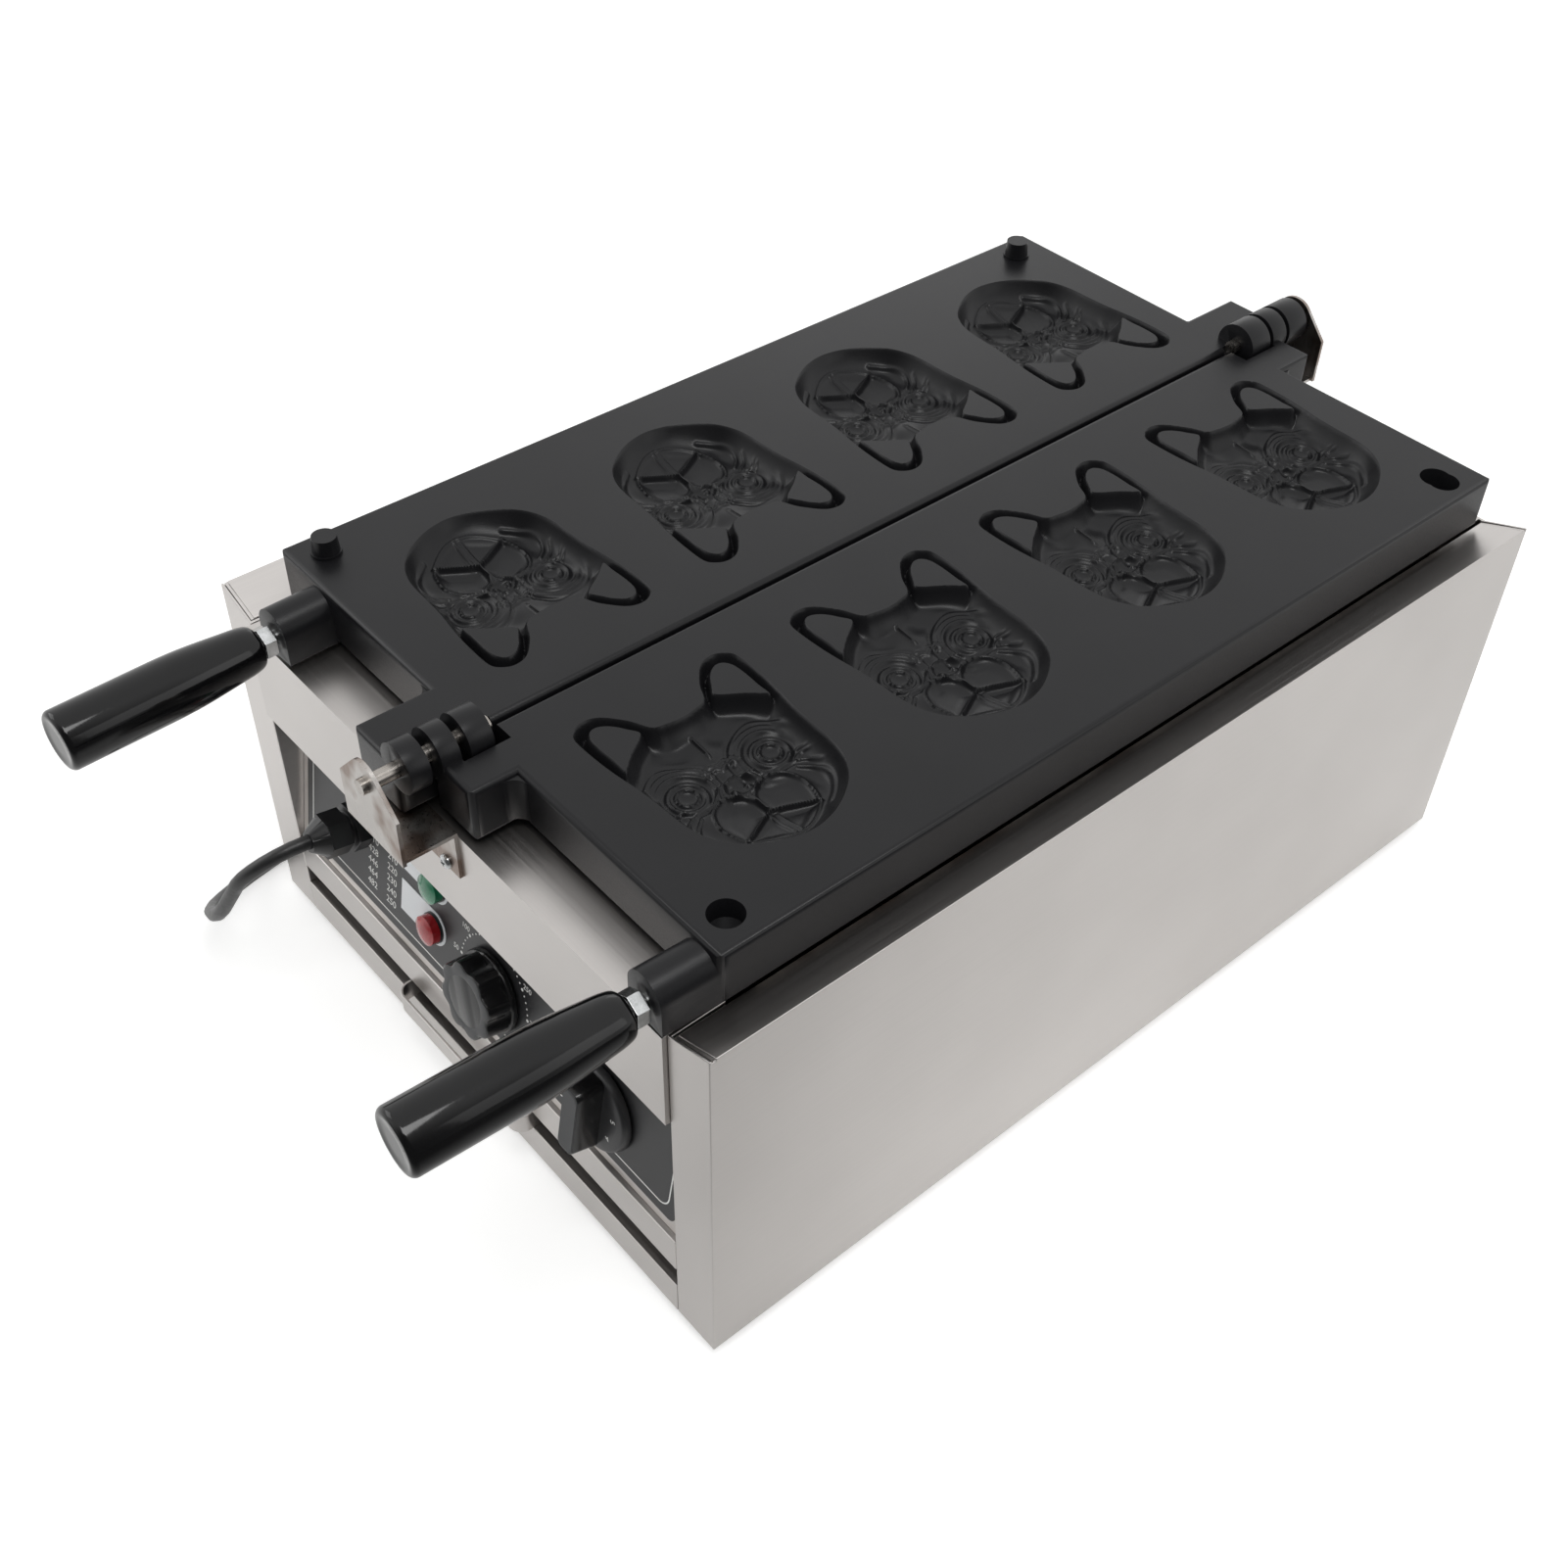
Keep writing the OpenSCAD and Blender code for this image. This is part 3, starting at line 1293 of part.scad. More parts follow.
// Narrowing of the timer's skirt and grip towards the front
skirt_share = 0.94;
grip_front_share = 0.86;
shaft_in = shaft_seat - seat_gap;
module shaft(x, height) {
    at_panel(x, control_rise) translate([0, 0, body_gap - shaft_in])
        cylinder(h = shaft_in - body_gap + height, d = shaft_d);
}
module shaft_bore(depth) {
    translate([0, 0, knob_lift - cut]) cylinder(h = depth + cut, r = shaft_d / 2 + pin_fit);
}
module thermostat_shaft() {
    color("#b9b7b3") place() shaft(thermostat_x, knob_lift + thermostat_knob_h / 2 - seat_gap);
}
module thermostat_knob() {
    r = thermostat_knob_d / 2;
    hollow_r = r * sin(180 / scallop_count) * hollow_share;
    crown_t = thermostat_knob_h / 4;
    color("#2c2c2e") place() at_panel(thermostat_x, control_rise) difference() {
        union() {
            translate([0, 0, knob_lift]) cylinder(h = thermostat_knob_h - crown_t, r = r);
            translate([0, 0, knob_lift + thermostat_knob_h - crown_t])
                cylinder(h = crown_t, r1 = r, r2 = r - crown_t / 2);
        }
        for (i = [0:scallop_count - 1])
            rotate([0, 0, i * 360 / scallop_count])
                translate([r + hollow_r * hollow_out_share, 0, knob_lift + crown_t])
                    cylinder(h = thermostat_knob_h, r = hollow_r);
        shaft_bore(thermostat_knob_h / 2);
    }
}
module timer_shaft() {
    color("#b9b7b3") place() shaft(timer_x, knob_lift + timer_knob_h / 2 - seat_gap);
}
module timer_knob() {
    r = timer_skirt_d / 2;
    skirt_h = timer_knob_h / 4;
    color("#1b1b1d") place() at_panel(timer_x, control_rise) difference() {
        union() {
            translate([0, 0, knob_lift]) cylinder(h = skirt_h, r1 = r, r2 = r * skirt_share);
            intersection() {
                translate([-timer_grip_w / 2, -r, knob_lift])
                    cube([timer_grip_w, 2 * r, timer_knob_h]);
                translate([0, 0, knob_lift]) cylinder(h = timer_knob_h, r1 = r * skirt_share,
                    r2 = r * grip_front_share);
            }
        }
        shaft_bore(timer_knob_h / 2);
    }
}

side_panel_left();
side_panel_right();
front_fascia();
front_rail();
control_panel();
panel_overlay();
lamp_plates();
back_cover();
back_screws();
base_pan();
rubber_feet();
tray_runners();
chamber();
chamber_bearers();
heater_left();
heater_right();
heater_supports();
thermostat_body();
thermostat_bulb();
timer_body();
terminal_block();
inner_lead();
wiring_loom();
lamp_holders();
lamp_red();
lamp_green();
gland_body();
gland_nut();
gland_locknut();
cord();
cord_coil();
plug();
hinge_bracket_front();
hinge_bracket_rear();
bracket_screws();
hinge_rod_front();
hinge_rod_rear();
plate_left();
locating_pins();
stud_left();
locknut_left();
handle_left();
plate_right();
stud_right();
locknut_right();
handle_right();
tray();
tray_pull();
thermostat_knob();
thermostat_shaft();
timer_knob();
timer_shaft();
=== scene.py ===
"""Countertop waffle maker with two hinged casting plates, dressed for a studio picture."""

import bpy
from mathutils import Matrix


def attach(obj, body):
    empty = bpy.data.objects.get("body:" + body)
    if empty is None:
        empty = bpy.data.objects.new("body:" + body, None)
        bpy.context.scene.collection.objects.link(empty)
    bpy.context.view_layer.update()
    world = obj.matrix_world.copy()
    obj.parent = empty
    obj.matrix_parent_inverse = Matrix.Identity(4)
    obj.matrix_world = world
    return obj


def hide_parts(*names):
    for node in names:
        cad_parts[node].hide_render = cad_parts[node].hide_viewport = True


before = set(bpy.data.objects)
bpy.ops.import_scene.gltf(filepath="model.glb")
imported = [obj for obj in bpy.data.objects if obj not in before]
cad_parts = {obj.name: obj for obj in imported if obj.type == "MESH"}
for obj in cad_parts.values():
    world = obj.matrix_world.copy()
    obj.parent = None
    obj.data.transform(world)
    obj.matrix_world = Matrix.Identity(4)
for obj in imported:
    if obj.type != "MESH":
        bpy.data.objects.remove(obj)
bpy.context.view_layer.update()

import logging
import math
from dataclasses import dataclass, field
from enum import Enum

import bmesh
import bpy
import numpy as np
from mathutils import Matrix, Vector

MM = 0.001
# Edges that turn by more degrees than this are shaded sharp
SHARP_TURN = 40.0
# CAD corners nearer than this, in mm, are one, and faces that turn by less degrees are level
WELD = 0.002
LEVEL_TURN = 0.4
# The same distance for the small marks, which are finer
WELD_MARKS = 0.0005
BEVEL_STEPS = 3
# Half the thickness of printed ink, in mm
INK = 0.04
# The band that a noise texture mostly keeps to
NOISE = (0.3, 0.7)
# Stands in for a length or a rise of zero where it would divide
TINY = 1e-12
LOG = logging.getLogger("waffle_maker")

Point = tuple[float, float, float]
Outline = list[tuple[float, float]]
Rings = tuple[tuple[float, float, float], ...]


class Body(Enum):
    """The bodies that pieces ride on."""

    BASE = "base"
    PLATE_LEFT = "plate_left"
    PLATE_RIGHT = "plate_right"
    TRAY = "tray"
    THERMOSTAT = "thermostat_knob"
    TIMER = "timer_knob"


class Brush(Enum):
    """Direction of the brush lines on a sheet, as grain sizes in mm along X, Y and Z."""

    ACROSS = (160.0, 0.9, 0.9)
    ALONG = (0.9, 220.0, 0.9)


def linear(code: str) -> tuple[float, float, float, float]:
    """Turns an sRGB hex colour to linear values.

    Args:
        code: The colour, as "#rrggbb".

    Returns:
        Red, green, blue and an alpha of one.
    """
    parts = [int(code[i : i + 2], 16) / 255 for i in (1, 3, 5)]
    lit = [c / 12.92 if c <= 0.04045 else ((c + 0.055) / 1.055) ** 2.4 for c in parts]
    return (lit[0], lit[1], lit[2], 1.0)


def add(
    tree: bpy.types.NodeTree, kind: str, sockets: dict | None = None, **settings: object
) -> bpy.types.Node:
    """Adds one node to a tree.

    Args:
        tree: The node tree.
        kind: The node's type name.
        sockets: Input names or numbers, each with a value or with the output that feeds it.
        **settings: The node's own properties.

    Returns:
        The new node.
    """
    node = tree.nodes.new(kind)
    for name, value in settings.items():
        setattr(node, name, value)
    for key, value in (sockets or {}).items():
        if isinstance(value, bpy.types.NodeSocket):
            tree.links.new(value, node.inputs[key])
        else:
            node.inputs[key].default_value = value
    return node


def maths(
    tree: bpy.types.NodeTree, operation: str, *values: object, clamp: bool = False
) -> bpy.types.NodeSocket:
    """Adds one sum to a tree.

    Args:
        tree: The node tree.
        operation: The sum's type name.
        *values: Its values, or the outputs that feed it.
        clamp: Whether the result is kept between zero and one.

    Returns:
        The socket that gives the result.
    """
    sockets = dict(enumerate(values))
    return add(tree, "ShaderNodeMath", sockets, operation=operation, use_clamp=clamp).outputs[0]


# Finishes


@dataclass(frozen=True)
class Finish:
    """One surface of the machine, from its real material and how it was made.

    The grain is the size of the fine pattern in mm along X, Y and Z, relief its height in mm,
    and blotch the size in mm of the soft unevenness of tone.
    """

    name: str
    light: str
    dark: str
    roughness: float
    spread: float = 0.04
    metallic: float = 0.0
    ior: float = 1.5
    coat: float = 0.0
    coat_roughness: float = 0.08
    grain: Point = (0.8, 0.8, 0.8)
    relief: float = 0.02
    blotch: float = 60.0
    blend: float = 0.35

    def material(self) -> bpy.types.Material:
        """Makes the material once, and gives the same one after that.

        Returns:
            The material.
        """
        found = bpy.data.materials.get(self.name)
        if found:
            return found
        made = bpy.data.materials.new(self.name)
        made.use_nodes = True
        tree = made.node_tree
        tree.nodes.clear()
        where = add(tree, "ShaderNodeTexCoord").outputs["Object"]
        scale = [1 / (size * MM) for size in self.grain]
        fine = add(tree, "ShaderNodeMapping", {"Vector": where, "Scale": scale})
        grain = add(
            tree, "ShaderNodeTexNoise", {"Vector": fine.outputs[0], "Scale": 1.0, "Detail": 3.0}
        )
        broad = add(
            tree, "ShaderNodeTexNoise",
            {"Vector": where, "Scale": 1 / (self.blotch * MM), "Detail": 2.0},
        )
        tone = self.tone(tree, where, grain.outputs["Fac"], broad.outputs["Fac"])
        rough = add(
            tree,
            "ShaderNodeMapRange",
            {
                "Value": grain.outputs["Fac"],
                "From Min": NOISE[0],
                "From Max": NOISE[1],
                "To Min": self.roughness - self.spread,
                "To Max": self.roughness + self.spread,
            },
        )
        bump = add(
            tree,
            "ShaderNodeBump",
            {"Height": grain.outputs["Fac"], "Strength": 1.0, "Distance": self.relief * MM},
        )
        shader = add(
            tree,
            "ShaderNodeBsdfPrincipled",
            {
                "Base Color": tone,
                "Roughness": rough.outputs[0],
                "Normal": bump.outputs[0],
                "Metallic": self.metallic,
                "IOR": self.ior,
                "Coat Weight": self.coat,
                "Coat Roughness": self.coat_roughness,
            },
        )
        add(tree, "ShaderNodeOutputMaterial", {"Surface": shader.outputs[0]})
        return made

    def tone(
        self,
        tree: bpy.types.NodeTree,
        where: bpy.types.NodeSocket,
        grain: bpy.types.NodeSocket,
        broad: bpy.types.NodeSocket,
    ) -> bpy.types.NodeSocket:
        """Mixes the two colours by the grain and the soft unevenness.

        Args:
            tree: The material's tree.
            where: Object coordinates, not used.
            grain: The fine pattern.
            broad: The soft unevenness.

        Returns:
            The socket that gives the colour.
        """
        share = add(tree, "ShaderNodeMix", {0: self.blend, 2: broad, 3: grain}, data_type="FLOAT")
        sharp = add(
            tree, "ShaderNodeMapRange",
            {"Value": share.outputs[0], "From Min": NOISE[0], "From Max": NOISE[1]},
        )
        mixed = add(
            tree,
            "ShaderNodeMix",
            {0: sharp.outputs[0], 6: linear(self.dark), 7: linear(self.light)},
            data_type="RGBA",
        )
        return mixed.outputs[2]


@dataclass(frozen=True)
class TintedFinish(Finish):
    """Steel that the heat has tinted brown in patches."""

    tint: str = "#85756b"
    patches: tuple[float, float] = (0.46, 0.62)

    def tone(
        self,
        tree: bpy.types.NodeTree,
        where: bpy.types.NodeSocket,
        grain: bpy.types.NodeSocket,
        broad: bpy.types.NodeSocket,
    ) -> bpy.types.NodeSocket:
        """Lays the tint over the plain steel colour, by an uneven mask.

        Args:
            tree: The material's tree.
            where: Object coordinates.
            grain: The fine pattern.
            broad: The soft unevenness.

        Returns:
            The socket that gives the colour.
        """
        plain = Finish.tone(self, tree, where, grain, broad)
        low, high = self.patches
        mask = add(tree, "ShaderNodeMapRange", {"Value": broad, "From Min": low, "From Max": high})
        mixed = add(
            tree, "ShaderNodeMix", {0: mask.outputs[0], 6: plain, 7: linear(self.tint)},
            data_type="RGBA",
        )
        return mixed.outputs[2]


# Austenitic stainless sheet, brushed along the length of the casing: soft streaks and a
# wide, dull reflection
SIDE_SHEET = Finish(
    "stainless_sheet_brushed_along", "#d2cecb", "#c3bfbc", 0.34, 0.05, 1.0,
    grain=Brush.ALONG.value, relief=0.004, blotch=140.0,
)
# The same sheet, brushed from side to side on the front, the top folds and the back
FRONT_SHEET = Finish(
    "stainless_sheet_brushed_across", "#cfcbc8", "#c0bcb9", 0.33, 0.05, 1.0,
    grain=Brush.ACROSS.value, relief=0.004, blotch=110.0,
)
# Folded mild steel, nickel-grey, browned by the heat of the plates
BRACKET_STEEL = TintedFinish(
    "bracket_steel_heat_tinted", "#c4c0bc", "#aeaaa6", 0.32, 0.06, 1.0,
    grain=(0.9, 0.9, 30.0), relief=0.006, blotch=22.0,
)
# Aluminium casting under a baked matt non-stick coating: fine even grain, no colour
COATED_CASTING = Finish(
    "aluminium_casting_nonstick_coated", "#18181a", "#121214", 0.33, 0.05, ior=1.36,
    grain=(0.7, 0.7, 0.7), relief=0.02, blotch=35.0, blend=0.5,
)
# Compression-moulded phenolic, polished: deep black with a clear reflection
PHENOLIC = Finish(
    "phenolic_moulded_polished", "#0e0e0f", "#09090a", 0.1, 0.03, ior=1.42,
    grain=(1.6, 1.6, 1.6), relief=0.004, blotch=25.0,
)
# ABS knobs, moulded with a satin face
KNOB_ABS = Finish(
    "abs_knob_satin_moulded", "#2a2a2c", "#202022", 0.36, 0.05, ior=1.53,
    grain=(0.5, 0.5, 0.5), relief=0.008, blotch=18.0,
)
KNOB_FACE = Finish(
    "abs_knob_face_spark_textured", "#38393b", "#303133", 0.46, 0.05, ior=1.53,
    grain=(0.4, 0.4, 0.4), relief=0.012, blotch=14.0,
)
KNOB_GLOSS = Finish(
    "abs_knob_gloss_moulded", "#151516", "#0d0d0e", 0.2, 0.05, ior=1.53,
    grain=(1.0, 1.0, 1.0), relief=0.004, blotch=18.0,
)
# Polyester film, printed dark grey, with a fine texture against glare
OVERLAY_FILM = Finish(
    "polyester_overlay_printed_grey", "#29292b", "#232325", 0.42, 0.04, ior=1.57,
    grain=(0.3, 0.3, 0.3), relief=0.004, blotch=70.0,
)
WHITE_INK = Finish(
    "screen_ink_white", "#efefec", "#e2e2df", 0.5, 0.04,
    grain=(0.3, 0.3, 0.3), relief=0.003, blotch=20.0,
)
WHITE_FILM = Finish(
    "polyester_label_white", "#eef0f2", "#e0e3e6", 0.38, 0.04, ior=1.57,
    grain=(0.3, 0.3, 0.3), relief=0.003, blotch=25.0,
)
# Zinc-plated screws and nuts: bright, slightly blue, with fine turning marks
ZINC = Finish(
    "steel_zinc_plated", "#d9dbdc", "#b4b6b6", 0.2, 0.06, 1.0,
    grain=(0.6, 0.6, 0.6), relief=0.004, blotch=4.0,
)
ROD_STEEL = Finish(
    "steel_rod_ground", "#b9b4ae", "#958f89", 0.28, 0.06, 1.0,
    grain=(0.8, 12.0, 0.8), relief=0.004, blotch=6.0,
)
RUBBER = Finish(
    "nitrile_rubber_moulded", "#232324", "#191919", 0.66, 0.06,
    grain=(0.6, 0.6, 0.6), relief=0.03, blotch=12.0,
)
NYLON = Finish(
    "nylon_gland_moulded", "#1b1b1c", "#121213", 0.33, 0.05, ior=1.53,
    grain=(0.6, 0.6, 0.6), relief=0.01, blotch=12.0,
)
# Flexible PVC sheath with a dull, slightly wavy skin
CORD_PVC = Finish(
    "pvc_sheath_extruded", "#242425", "#19191a", 0.4, 0.06, ior=1.53,
    grain=(2.5, 2.5, 2.5), relief=0.03, blotch=30.0,
)
RED_LENS = Finish(
    "polycarbonate_lens_red", "#b7252c", "#8f141b", 0.18, 0.03, ior=1.58, coat=0.5,
    grain=(1.2, 1.2, 1.2), relief=0.01, blotch=9.0,
)
GREEN_LENS = Finish(
    "polycarbonate_lens_green", "#2c8a63", "#1c6a49", 0.18, 0.03, ior=1.58, coat=0.5,
    grain=(1.2, 1.2, 1.2), relief=0.01, blotch=9.0,
)
# Aluminised steel round the burners, dull and scaled by heat
HEAT_SHEET = TintedFinish(
    "aluminised_steel_heat_chamber", "#9a9792", "#7d7974", 0.45, 0.07, 1.0,
    grain=(2.0, 2.0, 2.0), relief=0.02, blotch=45.0, tint="#57493f",
)
HEATER_TUBE = Finish(
    "stainless_heater_tube_oxidised", "#4a4240", "#332c2b", 0.5, 0.08, 0.7,
    grain=(1.5, 1.5, 1.5), relief=0.02, blotch=15.0,
)
CONTROL_MOULDING = Finish(
    "pbt_control_moulding", "#d8d3c6", "#c7c1b3", 0.5, 0.05,
    grain=(0.7, 0.7, 0.7), relief=0.01, blotch=15.0,
)
COPPER = Finish(
    "copper_capillary_drawn", "#b87a56", "#95583a", 0.3, 0.06, 1.0,
    grain=(0.8, 0.8, 0.8), relief=0.008, blotch=8.0,
)
CERAMIC = Finish(
    "steatite_terminal_glazed", "#e9e5da", "#d8d2c4", 0.28, 0.04, ior=1.55,
    grain=(1.0, 1.0, 1.0), relief=0.01, blotch=12.0,
)
SLEEVE = Finish(
    "glass_fibre_sleeve_woven", "#cfc9b8", "#a39c8a", 0.75, 0.08,
    grain=(0.5, 0.5, 0.5), relief=0.08, blotch=6.0,
)

FINISHED: dict[Finish, tuple[str, ...]] = {
    SIDE_SHEET: ("side_panel_left", "side_panel_right", "tray_runners"),
    FRONT_SHEET: (
        "front_fascia", "front_rail", "control_panel", "back_cover", "base_pan", "tray",
        "tray_pull",
    ),
    OVERLAY_FILM: ("panel_overlay",),
    WHITE_FILM: ("lamp_plates",),
    ZINC: (
        "back_screws", "bracket_screws", "stud_left", "locknut_left", "stud_right",
        "locknut_right",
    ),
    RUBBER: ("rubber_feet",),
    HEAT_SHEET: ("chamber", "chamber_bearers", "heater_supports"),
    HEATER_TUBE: ("heater_left", "heater_right"),
    CONTROL_MOULDING: ("thermostat_body", "timer_body"),
    COPPER: ("thermostat_bulb",),
    CERAMIC: ("terminal_block",),
    CORD_PVC: ("inner_lead", "cord", "cord_coil", "plug"),
    SLEEVE: ("wiring_loom",),
    NYLON: ("lamp_holders", "gland_body", "gland_nut", "gland_locknut"),
    RED_LENS: ("lamp_red",),
    GREEN_LENS: ("lamp_green",),
    BRACKET_STEEL: ("hinge_bracket_front", "hinge_bracket_rear"),
    ROD_STEEL: ("hinge_rod_front", "hinge_rod_rear", "thermostat_shaft", "timer_shaft"),
    COATED_CASTING: ("plate_left", "locating_pins", "plate_right"),
    PHENOLIC: ("handle_left", "handle_right"),
    KNOB_ABS: ("thermostat_knob", "timer_knob"),
}
NODE_FINISHES = {node: finish for finish, nodes in FINISHED.items() for node in nodes}


def dress_nodes() -> None:
    """Gives every CAD node the material of its real counterpart."""
    for name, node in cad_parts.items():
        finish = NODE_FINISHES[name].material()
        for holder in node.material_slots:
            holder.material = finish
    LOG.info("dressed %d nodes", len(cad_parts))


# Mesh helpers


def place(
    mesh: bpy.types.Mesh,
    name: str,
    finish: Finish,
    body: Body,
    replaced: tuple[str, ...] = (),
) -> None:
    """Links a finished mesh as a piece of the machine.

    Args:
        mesh: The mesh, in the row frame.
        name: The piece's name.
        finish: Its surface.
        body: The body that it rides on.
        replaced: CAD nodes that the piece stands for.
    """
    piece = bpy.data.objects.new(name, mesh)
    bpy.context.scene.collection.objects.link(piece)
    if not mesh.materials:
        mesh.materials.append(finish.material())
    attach(piece, body.value)
    if replaced:
        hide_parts(*replaced)
    LOG.info("%s: %d faces", name, len(mesh.polygons))


def smooth(mesh: bpy.types.Mesh, degrees: float = SHARP_TURN) -> bpy.types.Mesh:
    """Shades a mesh smooth, with sharp edges where it turns more than an angle.

    Args:
        mesh: The mesh.
        degrees: The angle.

    Returns:
        The same mesh.
    """
    mesh.shade_smooth()
    mesh.set_sharp_from_angle(angle=math.radians(degrees))
    return mesh


def baked(source: bpy.types.Object) -> bpy.types.Mesh:
    """Turns an object with modifiers to a plain mesh and removes the object.

    Args:
        source: The object.

    Returns:
        The new mesh.
    """
    bpy.context.view_layer.update()
    graph = bpy.context.evaluated_depsgraph_get()
    mesh = bpy.data.meshes.new_from_object(source.evaluated_get(graph), depsgraph=graph)
    bpy.data.objects.remove(source)
    return mesh


def loose_object(name: str, mesh: bpy.types.ID) -> bpy.types.Object:
    """Links a working object that carries modifiers until it is baked.

    Args:
        name: The object's name.
        mesh: Its mesh, or the curve or text that it is made from.

    Returns:
        The object.
    """
    made = bpy.data.objects.new(name, mesh)
    bpy.context.scene.collection.objects.link(made)
    return made


def merged_copy(node: str, flat: bool = False) -> bpy.types.Mesh:
    """Copies a CAD node's mesh and merges its loose triangles.

    Args:
        node: The CAD node.
        flat: Whether triangles in one plane are joined as well.

    Returns:
        The copy.
    """
    shape = bmesh.new()
    shape.from_mesh(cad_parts[node].data)
    bmesh.ops.remove_doubles(shape, verts=shape.verts, dist=WELD * MM)
    if flat:
        bmesh.ops.dissolve_limit(
            shape, angle_limit=math.radians(LEVEL_TURN), verts=shape.verts, edges=shape.edges
        )
    mesh = bpy.data.meshes.new(node + "_shape")
    shape.to_mesh(mesh)
    shape.free()
    return mesh


def flattened(mesh: bpy.types.Mesh) -> bpy.types.Mesh:
    """Lets the widest face at each corner set its shading, so that flat sheet looks flat.

    Args:
        mesh: The mesh, with its sharp edges marked.

    Returns:
        A new mesh with the same faces.
    """
    work = loose_object("flat_work", mesh)
    level = work.modifiers.new("level", "WEIGHTED_NORMAL")
    level.mode = "FACE_AREA"
    level.weight = 100
    level.keep_sharp = True
    return baked(work)


def bevel(work: bpy.types.Object, width: float, degrees: float) -> None:
    """Rounds a working object's edges.

    Args:
        work: The object.
        width: Width of the rounding in mm.
        degrees: The least turn at an edge that is rounded.
    """
    step = work.modifiers.new("edge", "BEVEL")
    step.width = width * MM
    step.segments = BEVEL_STEPS
    step.limit_method = "ANGLE"
    step.angle_limit = math.radians(degrees)


def combine(work: bpy.types.Object, name: str, other: bpy.types.Object, operation: str) -> None:
    """Adds a solid to a working object, or cuts it away.

    Args:
        work: The object.
        name: The step's name.
        other: The solid.
        operation: "UNION" or "DIFFERENCE".
    """
    step = work.modifiers.new(name, "BOOLEAN")
    step.object = other
    step.operation = operation
    step.solver = "MANIFOLD"


def eased(node: str, width: float, finish: Finish, body: Body) -> None:
    """Replaces a CAD node by a copy whose edges are rounded, as a folded or moulded edge is.

    Args:
        node: The CAD node.
        width: Width of the rounding in mm.
        finish: Its surface.
        body: The body that it rides on.
    """
    work = loose_object(node + "_work", merged_copy(node, flat=True))
    bevel(work, width, 38.0)
    mesh = baked(work)
    mesh.materials.clear()
    shaded = flattened(smooth(mesh))
    place(shaded, node + "_eased", finish, body, (node,))


def curve_through(points: Outline, steps: int = 6, closed: bool = True) -> np.ndarray:
    """Lays a smooth curve through points.

    Args:
        points: The points.
        steps: Stretches between two points.
        closed: Whether the curve comes back to its start.

    Returns:
        The curve's points, one row each.
    """
    p = np.asarray(points, float)
    if closed:
        ends = np.roll(p, 1, 0), p, np.roll(p, -1, 0), np.roll(p, -2, 0)
    else:
        wide = np.vstack([2 * p[0] - p[1], p, 2 * p[-1] - p[-2]])
        ends = wide[:-3], wide[1:-2], wide[2:-1], wide[3:]
    before, start, end, after = ends
    t = np.linspace(0, 1, steps, endpoint=False)[:, None, None]
    found = start + 0.5 * (
        (end - before) * t
        + (2 * before - 5 * start + 4 * end - after) * t**2
        + (3 * start - before - 3 * end + after) * t**3
    )
    found = found.transpose(1, 0, 2).reshape(-1, 2)
    return found if closed else np.vstack([found, p[-1]])


def distance(spots: np.ndarray, line: np.ndarray, closed: bool = False) -> np.ndarray:
    """Measures from spots to a line, positive, or signed and positive inside a closed one.

    Args:
        spots: The spots, one row each.
        line: The line's points, one row each.
        closed: Whether the line is closed.

    Returns:
        The distance of each spot.
    """
    ends = np.roll(line, -1, 0) if closed else line[1:]
    starts = line if closed else line[:-1]
    along = ends - starts
    span = np.maximum((along**2).sum(1), TINY)
    rel = spots[:, None, :] - starts[None]
    share = np.clip((rel * along[None]).sum(2) / span, 0, 1)
    away = np.sqrt(((rel - share[..., None] * along[None]) ** 2).sum(2).min(1))
    if not closed:
        return away
    y = spots[:, None, 1]
    crossed = (starts[None, :, 1] > y) != (ends[None, :, 1] > y)
    rise = np.where(np.abs(along[:, 1]) < TINY, TINY, along[:, 1])
    where = starts[None, :, 0] + (y - starts[None, :, 1]) * (along[:, 0] / rise)[None]
    inside = (crossed & (spots[:, None, 0] < where)).sum(1) % 2 == 1
    return np.where(inside, away, -away)


def bump_of(x: np.ndarray, width: float) -> np.ndarray:
    """A soft bump of height one at zero."""
    return np.exp(-((x / width) ** 2))


def ease(x: np.ndarray) -> np.ndarray:
    """Goes smoothly from zero to one as x does."""
    x = np.clip(x, 0, 1)
    return x * x * (3 - 2 * x)


def waves(r: np.ndarray, rings: Rings) -> np.ndarray:
    """Sums soft rings, each of a height, a radius and a width, at distances from their middle."""
    return sum(height * bump_of(r - radius, width) for height, radius, width in rings)


@dataclass(frozen=True)
class Mound:
    """A soft round form of the face, deeper in the mould where its height is positive."""

    height: float
    middle: tuple[float, float]
    reach: tuple[float, float]

    def form(self, s: np.ndarray, t: np.ndarray) -> np.ndarray:
        """Gives its height at places along and across the face."""
        away = np.hypot((s - self.middle[0]) / self.reach[0], (t - self.middle[1]) / self.reach[1])
        return self.height * bump_of(away, 1.0)


@dataclass(frozen=True)
class Ridge:
    """A straight line along the face: it grows from its start and shrinks to its end.

    The start and the end are each a place and the length of the change.
    """

    height: float
    t: float
    width: float
    start: tuple[float, float]
    end: tuple[float, float]

    def form(self, s: np.ndarray, t: np.ndarray) -> np.ndarray:
        """Gives its height at places along and across the face."""
        share = ease((s - self.start[0]) / self.start[1]) * ease((self.end[0] - s) / self.end[1])
        return self.height * bump_of(t - self.t, self.width) * share


